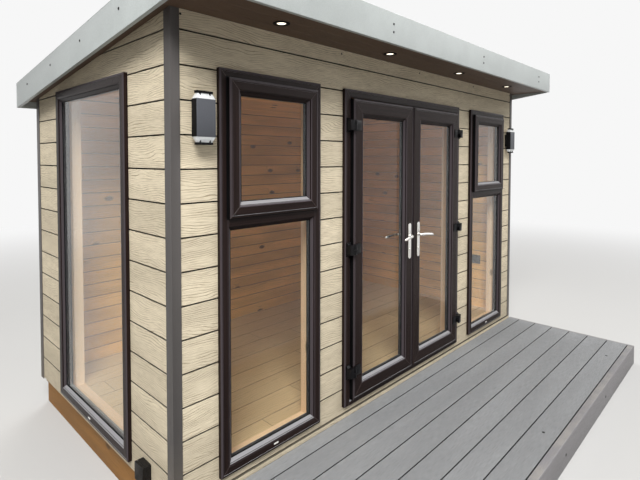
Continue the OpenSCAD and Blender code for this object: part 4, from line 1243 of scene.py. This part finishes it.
class POD_OT_linings(PodOperator, bpy.types.Operator):
    """Pine boards on the walls and ceiling, boards round the openings and floor planks"""
    bl_idname = "pod.linings"
    bl_label = "Linings"

    def execute(self, context):
        sizes = context.scene.pod_boards
        pitch, groove = sizes.lining_pitch * 1000, sizes.lining_groove * 1000
        side, room_back = HALF_W - ROOM_IN, DEPTH - ROOM_IN
        joint, thick, far = 0.4, LINING - 1, 2000

        rows = math.ceil((roof_z(ROOM_IN) - FLOOR_Z) / pitch)
        walls = ((2 * side, (side, ROOM_IN), 180), (2 * side, (-side, room_back), 0),
                 (DEPTH - 2 * ROOM_IN, (-side, ROOM_IN), 90),
                 (DEPTH - 2 * ROOM_IN, (side, room_back), -90))
        made = [boards("lining", "pine", rows, run, pitch, joint, thick, groove, (x, y, FLOOR_Z + 1),
                       (90, 0, turn), under_roof(openings(), LINING + 1), seed=31 + index, steps=1)
                for index, (run, (x, y), turn) in enumerate(walls)]
        mesh, keys = joined("wall_boards", made)
        piece("wall_boards", mesh, keys, "pod", ("wall_lining",))

        back = room_back + LINING
        run = (back - ROOM_IN + LINING) / math.cos(math.radians(ROOF_PITCH))
        cut = Shell()
        cut.block((-far, -100, far), (far, ROOM_IN - LINING, 2700))
        mesh = boards("ceiling_boards", "ceiling", math.ceil(run / pitch), 2 * (side + thick), pitch,
                      joint, thick, groove, (-side - thick, back - 1, roof_z(back) - LINING),
                      (180 - ROOF_PITCH, 0, 0), cut, seed=41, steps=1)
        piece("ceiling_boards", mesh, ["ceiling"], "pod", ("ceiling_lining",))
        softened("reveal_linings", "reveal_boards", ["reveal"], "pod", 0.0015,
                 grain=self.bar_direction)

        cut = Shell()
        door, top = DOOR_W / 2 - 15, 400
        for s in (-1, 1):
            cut.block(*sorted(((s * door, 0, 0), (s * far, ROOM_IN, top))))
        cut.block((-far, room_back, 0), (far, far, top))
        plank, first, level = sizes.floor_pitch * 1000, FRAME_BACK, FLOOR_Z + 10
        mesh = boards("floor_planks", "planks", math.ceil((room_back - first) / plank), 2 * side,
                      plank, 0.8, 9.9, sizes.floor_groove * 1000, (-side, first, level), cut=cut,
                      seed=51, steps=1)
        piece("floor_planks", mesh, ["planks"], "pod", ("floor_boards",))
        return {"FINISHED"}

    def bar_direction(self, at):
        """The axis that the reveal board at a point runs along."""
        board = 16
        if FLOOR_Z + board < at.z < HEAD_Z - board:
            return 2
        return 1 if at.x < -HALF_W + ROOM_IN + 1 else 0


class POD_OT_deck(PodOperator, bpy.types.Operator):
    """Grey deck boards, with the edging and the upright fascia round them"""
    bl_idname = "pod.deck"
    bl_label = "Deck"

    def execute(self, context):
        sizes = context.scene.pod_boards
        low, high = box_mm("deck_boards")
        gap, edge = sizes.deck_gap * 1000, sizes.deck_edge * 1000
        rows, board, past = 7, 145, 50
        cut = Shell()
        cut.block((low.x - past, high.y, 0), (high.x + past, high.y + 300, 400))
        mesh = boards("deck_planks", "deck", rows, high.x - low.x, board + gap, gap, high.z - low.z,
                      edge, (low.x, low.y - gap / 2, high.z), cut=cut, seed=61)
        piece("deck_planks", mesh, ["deck"], "pod", ("deck_boards",))
        softened("deck_fascia", "deck_edging", ["edging"], "pod", 0.0025,
                 grain=lambda at: 1 if at.y > -1000 else 0)
        return {"FINISHED"}


class POD_OT_roof(PodOperator, bpy.types.Operator):
    """Rubber sheet with lapped seams, fascias with their cappings, and the soffits"""
    bl_idname = "pod.roof"
    bl_label = "Roof"

    def execute(self, context):
        sizes = context.scene.pod_boards
        low, high = box_mm("roof_covering")
        cover = Shell(5)
        panel, covering = 107, 4
        top = panel + covering

        def sheet(x0, x1, lift, thick):
            y0, y1 = low.y, high.y
            cover.prism(x0, x1, [(y0, roof_z(y0) + lift - thick), (y1, roof_z(y1) + lift - thick),
                                 (y1, roof_z(y1) + lift), (y0, roof_z(y0) + lift)])

        sheet(low.x, high.x, top - 0.4, 3.2)
        for lap in (-630, 630):
            for half, lift, thick in ((60, 0.9, 1.2), (75, 0.3, 0.8)):
                sheet(lap - half, lap + half, top + lift, thick)
        piece("roof_sheet", cover.mesh("roof_sheet"), ["covering"], "pod",
              ("roof_covering",))
        for cad, name in (("front_fascia", "front_fascia_cap"),
                          ("side_fascias", "side_fascia_caps"), ("rear_fascia", "rear_fascia_cap")):
            softened(cad, name, ["fascia"], "pod", sizes.fascia_edge)

        pitch, joint, edge, thick, hole, past = sizes.soffit_pitch * 1000, 1.2, 1.2, 11.9, 31, 30
        near, far = box_mm("front_soffit")
        cut = Shell()
        for x, y in DOWNLIGHTS:
            cut.extrude([[(*p, z) for p in circle(x, y, hole)]
                         for z in (near.z - past, far.z + past)])
        mesh = boards("front_soffit_boards", "soffit", round((far.y - near.y) / pitch),
                      far.x - near.x, pitch, joint, thick, edge, (near.x, far.y, near.z),
                      (180, 0, 0), cut, seed=71, steps=1)
        piece("front_soffit_boards", mesh, ["soffit"], "pod", ("front_soffit",))
        softened("eaves_soffit", "eaves_soffit_boards", ["soffit"], "pod", 0.001,
                 grain=lambda at: 1 if abs(at.x) > HALF_W and at.y < DEPTH else 0)
        return {"FINISHED"}


class POD_OT_windows(PodOperator, bpy.types.Operator):
    """Foiled window frames with welded corners, beads, gaskets and top-hung sashes"""
    bl_idname = "pod.windows"
    bl_label = "Windows"

    def execute(self, context):
        joinery = context.scene.pod_joinery
        weld, slope = joinery.weld * 1000, joinery.chamfer * 1000
        front, back = FRAME_FRONT, FRAME_BACK
        outer = rounded(*frame_edge(front), (back, FRAME_FACE, 1.5), (back, 0))
        rail_top = SASH_Z + SASH_LAP
        rail = box_section(front, back, rail_top - TRANSOM, rail_top, 1.5)
        bar = WINDOW_W - 2 * (FRAME_FACE - 1)
        sash = sash_section(slope, SASH_FACE, front - 0.2, 20, 15)
        seal = box_section(front - 0.1, front + 6, 9, 19.6)
        frames, sashes, side, caps = [Shell(seed) for seed in (11, 12, 13, 14)]
        *places, beside = window_places()
        for at in places:
            frames.ring(WINDOW_W, TALL, outer, at, weld=weld, seam=WELD)
            frames.bar(rail, bar, at=at @ Matrix.Translation((-bar / 2, 0, 0)))
            fixed, hung = front_lights(at)
            glazing(frames, *fixed)
            hang = raised(at, SASH_Z)
            sashes.ring(SASH_W, SASH_H, sash, hang, weld=weld, seam=WELD)
            # The black seal round each sash is partly its gasket and partly painted shade in the gap
            # to the frame
            sashes.ring(SASH_W, SASH_H, outer_seal_and_shade(front, LEAF_FRONT), hang, RUBBER)
            glazing(sashes, *hung)
            sashes.ring(SASH_W, SASH_H, seal, hang, RUBBER)
        side.ring(SIDE_WINDOW_W, TALL, outer, beside, weld=weld, seam=WELD)
        glazing(side, *side_light())
        for shell, name, cad in ((frames, "front_window_bars", "front_window_frames"),
                                 (sashes, "vent_sash_bars", "vent_sashes"),
                                 (side, "side_window_bars", "side_window_frame")):
            piece(name, shell.mesh(name), JOINERY, "pod", (cad,))
        for at in window_places():
            caps.block((-14, front - 2.5, 26), (14, front + 1, 34), edge=1.2, at=at)
        piece("drain_caps", caps.mesh("drain_caps"), ["cap"], "pod")
        return {"FINISHED"}


class POD_OT_doors(PodOperator, bpy.types.Operator):
    """Door frame with its threshold, and two stepped leaves with beads and gaskets"""
    bl_idname = "pod.doors"
    bl_label = "Doors"

    def execute(self, context):
        joinery = context.scene.pod_joinery
        weld, slope = joinery.weld * 1000, joinery.chamfer * 1000
        front, back, stop = FRAME_FRONT, FRAME_BACK, 20
        at = Matrix.Translation((0, 0, FLOOR_Z))
        jamb = rounded(*frame_edge(front), (stop, FRAME_FACE), (stop, 62, 1.5), (back, 62, 1.5),
                       (back, 0))
        gasket = rounded((stop - 2.8, 53), (stop - 2.8, 60, 1), (stop + 0.1, 60), (stop + 0.1, 53))
        threshold = rounded((front, 0), (front, 22, 2), (-10, 28, 2), (stop, 28), (stop, 40, 1.5),
                            (back, 40, 1.5), (back, 0))
        run = DOOR_W - 96
        surround = Shell(21)
        surround.ring(DOOR_W, TALL, jamb, at, sill=False, weld=weld, seam=WELD)
        surround.bar(threshold, run, at=at @ Matrix.Translation((-run / 2, 0, 0)))
        surround.ring(DOOR_W, TALL, gasket, at, RUBBER, sill=False)
        piece("door_frame_bars", surround.mesh("door_frame_bars"), JOINERY, "pod",
              ("door_frame",))

        section = sash_section(slope, LEAF_FACE, -10, LEAF_BACK, LEAF_BACK)
        # A black sheet on each leaf's side: partly its seal, partly painted shade in the gap to the
        # frame
        side_seal_and_shade = rounded((-18, -1.2), (LEAF_FRONT + 6, -1.2, 0.8), (LEAF_FRONT + 5, 0.2),
                            (-18, 0.2))
        for s, side in ((-1, "left"), (1, "right")):
            leaf = Shell(22 + s)
            place = leaf_place(s)
            leaf.ring(LEAF_W, LEAF_H, section, place, weld=weld, seam=WELD)
            leaf.ring(LEAF_W, LEAF_H, side_seal_and_shade, place, RUBBER)
            glazing(leaf, *leaf_light(s))
            if side == "right":
                self.meeting_edge(leaf)
            piece(f"{side}_leaf_bars", leaf.mesh(f"{side}_leaf_bars"), JOINERY, f"{side}_door",
                  (f"{side}_leaf",))
        return {"FINISHED"}

    def meeting_edge(self, leaf):
        """The cover strip and the seal of the leaf that closes last, down its free edge."""
        short = 3
        down = raised(Matrix(), LEAF_Z + LEAF_H - short) @ turned("Y", 90)
        strip = rounded((LEAF_FRONT - 3, 4, 1), (LEAF_FRONT - 3, 26, 1), (LEAF_FRONT + 0.5, 26),
                        (LEAF_FRONT + 0.5, 4))
        seal = box_section(6, 10, -3.2, 4.5)
        leaf.bar(strip, LEAF_H - 2 * short, at=down, weld=0.1)
        leaf.bar(seal, LEAF_H - 2 * short, at=down, slot=RUBBER, weld=0.1)


class POD_OT_glass(PodOperator, bpy.types.Operator):
    """Sealed units of two panes and a spacer in every light"""
    bl_idname = "pod.glass"
    bl_label = "Glass"

    def execute(self, context):
        left, right, _ = window_places()
        self.units("front_window", "pod", front_lights(left) + front_lights(right))
        self.units("side_window", "pod", [side_light()])
        for s, side in ((-1, "left"), (1, "right")):
            self.units(side + "_leaf", side + "_door", [leaf_light(s)])
        return {"FINISHED"}

    def units(self, name, body, lights):
        """The panes and spacers of some lights."""
        panes, spacers = Shell(), Shell()
        for opening in lights:
            sealed_unit(panes, spacers, *opening)
        piece(name + "_panes", panes.mesh(name + "_panes"), ["glass"], body,
              (name + "_glass",))
        piece(name + "_spacers", spacers.mesh(name + "_spacers"), ["spacer"], body)


class POD_OT_door_fittings(PodOperator, bpy.types.Operator):
    """Flag hinges, handle plates and bent lever handles"""
    bl_idname = "pod.door_fittings"
    bl_label = "Door fittings"

    def execute(self, context):
        softened("hinge_posts", "hinge_blocks", ["black"], "pod", 0.0008)
        for side in ("left", "right"):
            softened(f"{side}_leaf_hinges", f"{side}_hinge_flags", ["black"], f"{side}_door",
                     0.0008)
            softened(f"{side}_handle_plates", f"{side}_plates", ["steel"], f"{side}_door",
                     0.0015)
            mesh = self.lever(-1 if side == "left" else 1).mesh(f"{side}_grip")
            smooth(mesh, 50)
            piece(f"{side}_grip", mesh, ["steel"], f"{side}_handle",
                  (f"{side}_lever",))
        return {"FINISHED"}

    def lever(self, s):
        """Outer and inner lever: out of the plate, round a bend and along to a drooping tip."""
        made = Shell()
        reach, droop, tip, lean = 117, 9, 9, math.radians(7)
        stand, wide, flat = 39, 9.7, 5.5
        for out, rest in ((-1, LEAF_FRONT), (1, LEAF_BACK)):
            face = rest + out * stand
            path, radii = [], []

            def go(x, y, up, level):
                path.append((s * (LEVER_X + x * math.cos(lean)), y + out * x * math.sin(lean),
                             LEVER_Z - droop * (x / reach) ** 2))
                radii.append((up, level))

            neck = 9.6
            for y, r in ((rest, neck), (face - out * 24, neck), (face - out * 19, 9.4)):
                go(0, y, r, r)
            for k in range(1, 7):
                a = math.pi / 12 * k
                go(16.8 * (1 - math.cos(a)), face - out * 17 * (1 - math.sin(a)), wide,
                   9.2 - k * 0.6)
            for k in range(1, 9):
                go(18 + (reach - 18) * k / 8, face, wide - 0.08 * k, flat)
            for k in range(1, 5):
                a = math.pi / 2 * k / 4.3
                go(reach + tip * math.sin(a), face, 9.0 * math.cos(a), flat * math.cos(a) ** 0.6)
            made.sweep(path, radii)
        return made


class POD_OT_lights(PodOperator, bpy.types.Operator):
    """Up and down wall lights, and the downlights under the front overhang"""
    bl_idname = "pod.lights"
    bl_label = "Lights"

    def execute(self, context):
        low, high = box_mm("wall_light_bodies")
        middle = (low.z + high.z) / 2
        body = (high.z - low.z) / 2 - 35

        def side(at, normal):
            """1 on the end plates and the sides, which are matt, and 0 on the face."""
            return 1 if abs(at.z - middle) > body + 0.6 or abs(normal.x) > 0.7 else 0

        softened("wall_light_bodies", "wall_light_cases", ["lamp_body", "matt"], "pod",
                 0.001, pick=side)
        softened("wall_light_lenses", "wall_light_glasses", ["lens"], "pod", 0.0015)
        softened("downlights", "downlight_bezels", ["matt"], "pod", 0.001)
        lamps = Shell()
        profile = ((21.7, -0.2), (21.7, 0.6), (18, 1.8), (11, 2.5), (3, 2.8))
        for x, y in DOWNLIGHTS:
            lamps.extrude([[(*p, SOFFIT_Z - drop) for p in circle(x, y, radius, hand=-1)]
                           for radius, drop in profile])
        mesh = lamps.mesh("downlight_lamps")
        smooth(mesh, 40)
        piece("downlight_lamps", mesh, ["lamp"], "pod")
        return {"FINISHED"}


class POD_OT_fittings(PodOperator, bpy.types.Operator):
    """The weatherproof cable box on the left wall and the socket in the room"""
    bl_idname = "pod.fittings"
    bl_label = "Fittings"

    def execute(self, context):
        softened("cable_box", "cable_box_case", ["plastic"], "pod", 0.0022)
        softened("wall_socket", "socket_plate", ["socket"], "pod", 0.0015)
        return {"FINISHED"}


class POD_OT_fixings(PodOperator, bpy.types.Operator):
    """Screws in the fascias and cladding, and plugs in the deck"""
    bl_idname = "pod.fixings"
    bl_label = "Fixings"

    def execute(self, context):
        sizes = context.scene.pod_fixings
        front, back = box_mm("front_fascia")[0].y, box_mm("rear_fascia")[1].y
        side = box_mm("side_fascias")[1].x
        upper, lower = SOFFIT_Z + 103, SOFFIT_Z + 59
        points = [((-1778 + 1132 * k, front, z), (0, -1, 0)) for k in range(4)
                  for z in (upper, lower)]
        for k in range(-1, 4):
            y = 270 + 478 * k
            z = upper - 5 - (y - front) * SLOPE
            points += [((s * side, y, z), (s, 0, 0)) for s in (-1, 1)]
        points += [((850 * k, back, 2190), (0, 1, 0)) for k in range(-2, 3)]
        self.place("fascia_screws", points, sizes.fascia_screw, 0.0028, ("screw", "recess"))
        points = [((x, 0, SOFFIT_Z - 22), (0, -1, 0)) for x in (-1762, -716, 136, 988, 1762)]
        self.place("cladding_screws", points, sizes.board_screw, 0.0018, ("screw", "recess"))
        deck_front = box_mm("deck_fascia")[0].y
        points = [((1458 * k, -929, DECK_Z - 0.6), (0, 0, 1)) for k in (-1, 0, 1)]
        points += [((889 * k, deck_front + 0.4, 72), (0, -1, 0)) for k in (-1, 0, 1)]
        self.place("deck_plugs", points, sizes.deck_plug, 0.0016, ("plug", "recess"), 0.9, 0.3)
        return {"FINISHED"}

    def place(self, name, points, radius, height, finishes, taper=0.72, recess=0.42):
        """Heads at points, each given with the way it faces."""
        base = bpy.data.meshes.new(name + ".points")
        base.from_pydata([metres(p) for p, way in points], [], [])
        facing = base.attributes.new("facing", "FLOAT_VECTOR", "POINT")
        facing.data.foreach_set("vector", [part for p, way in points for part in way])
        mesh = grown(name, base, "Heads at points", {
            "Radius": radius, "Height": height, "Taper": taper, "Recess": recess,
            "Finish": FINISHES[finishes[0]], "Recess Finish": FINISHES[finishes[1]]})
        mesh, keys = joined(name, [mesh])
        piece(name, mesh, keys, "pod")


class POD_OT_stage(PodOperator, bpy.types.Operator):
    """Pale floor and backdrop, soft lights and the camera"""
    bl_idname = "pod.stage"
    bl_label = "Stage"

    def execute(self, context):
        scene, stage = context.scene, context.scene.pod_stage
        self.floor(stage)
        self.world(scene, stage)
        for name, place, size, power in (
                ("Key light", (-6.6, -5.7, 9.4), 6.0, stage.key),
                ("Fill light", (7.0, -6.0, 6.5), 6.0, stage.fill),
                ("Back light", (4.5, 8.5, 7.5), 6.0, stage.back)):
            lamp = bpy.data.lights.new(name, "AREA")
            lamp.shape, lamp.size, lamp.energy = "DISK", size, power
            made = placed(name, lamp)
            made.location = place
            aim = Vector((0, 0, 1.1)) - Vector(place)
            made.rotation_euler = aim.to_track_quat("-Z", "Y").to_euler()
            made.visible_camera = made.visible_transmission = False
        self.camera(scene)
        scene.view_settings.view_transform = "Standard"
        return {"FINISHED"}

    def floor(self, stage):
        """A wide round floor that fades into the backdrop where the camera sees it far off."""
        made = bpy.data.meshes.new("stage_floor")
        radius, count = 45, 96
        made.from_pydata([(*p, -0.001) for p in circle(0, 0, radius, count)], [],
                         [tuple(range(count))])
        placed("stage_floor", made)
        finish = Finish("Stage floor", roughness=0.9)
        tree = finish.tree
        marks = finish.use("Speckle", vector=finish.place, grain_scale=90.0, patch_scale=0.6)
        base = tuple(stage.floor)
        face = mixed(tree, marks["Patches"], shade(base, 0.98), base)
        far = node(tree, "ShaderNodeVectorMath", {0: finish.place}, operation="LENGTH")
        seen = seen_rays(tree)
        finish.feed(base_color=mixed(tree, seen, shade(base, 0.45), face))
        share = times(tree, seen, spread(tree, far.outputs["Value"], 4.0, 11.0))
        glow = (*[stage.backdrop] * 3, 1.0)
        finish.mix(share, node(tree, "ShaderNodeEmission", {0: glow, 1: 1.0}))
        made.materials.append(finish.material)

    def world(self, scene, stage):
        """Even light from all round, stronger from above, behind a plain backdrop."""
        world = bpy.data.worlds.new("Studio")
        scene.world = world
        world.use_nodes = True
        tree = world.node_tree
        sky = tree.nodes["Background"]
        sky.inputs[0].default_value = (1.0, 1.0, 1.0, 1.0)
        up = split(tree, node(tree, "ShaderNodeTexCoord").outputs["Generated"])[2]
        dome = node(tree, "ShaderNodeMapRange", {0: up, 3: 0.4 * stage.dome, 4: 1.6 * stage.dome})
        strength = node(tree, "ShaderNodeMix", {
            0: seen_rays(tree), 2: dome, 3: stage.backdrop})
        tree.links.new(strength.outputs[0], sky.inputs[1])

    def camera(self, scene):
        """The camera where the photograph was taken."""
        data = bpy.data.cameras.new("Photo view")
        data.lens, data.sensor_width = CAMERA_LENS, 36.0
        data.shift_y = CAMERA_SHIFT
        data.clip_start, data.clip_end = 0.05, 200.0
        scene.camera = placed("Photo view", data)
        scene.camera.matrix_world = (
            Matrix.Translation(CAMERA_AT) @ turned("Z", -CAMERA_YAW)
            @ turned("X", 90 + CAMERA_PITCH) @ turned("Z", CAMERA_ROLL))


OPERATORS = (POD_OT_finishes, POD_OT_cladding, POD_OT_linings, POD_OT_deck, POD_OT_roof,
             POD_OT_windows, POD_OT_doors, POD_OT_glass, POD_OT_door_fittings, POD_OT_lights,
             POD_OT_fittings, POD_OT_fixings, POD_OT_stage)
SETTINGS = {"pod_boards": PodBoards, "pod_joinery": PodJoinery, "pod_fixings": PodFixings,
            "pod_colours": PodColours, "pod_stage": PodStage}


class POD_PT_panel(bpy.types.Panel):
    """Lists the pod's pieces and settings in the sidebar"""
    bl_idname = "POD_PT_panel"
    bl_label = "Garden Office Pod"
    bl_space_type = "VIEW_3D"
    bl_region_type = "UI"
    bl_category = "Pod"

    def draw(self, context):
        column = self.layout.column(align=True)
        for operator in OPERATORS:
            column.operator(operator.bl_idname, text=operator.bl_label)
        for name, kind in SETTINGS.items():
            box = self.layout.box()
            box.label(text=kind.__doc__)
            for key in kind.__annotations__:
                box.prop(getattr(context.scene, name), key)


CLASSES = (*SETTINGS.values(), *OPERATORS, POD_PT_panel)


def register():
    """Adds the operators, the panel and a scene's settings."""
    for kind in CLASSES:
        bpy.utils.register_class(kind)
    for name, kind in SETTINGS.items():
        setattr(bpy.types.Scene, name, PointerProperty(type=kind))


def unregister():
    """Takes out what register adds."""
    for name in SETTINGS:
        delattr(bpy.types.Scene, name)
    for kind in reversed(CLASSES):
        bpy.utils.unregister_class(kind)


def main():
    """Builds the pod and its stage."""
    register()
    for operator in OPERATORS:
        family, name = operator.bl_idname.split(".")
        getattr(getattr(bpy.ops, family), name)()


if __name__ == "__main__":
    main()
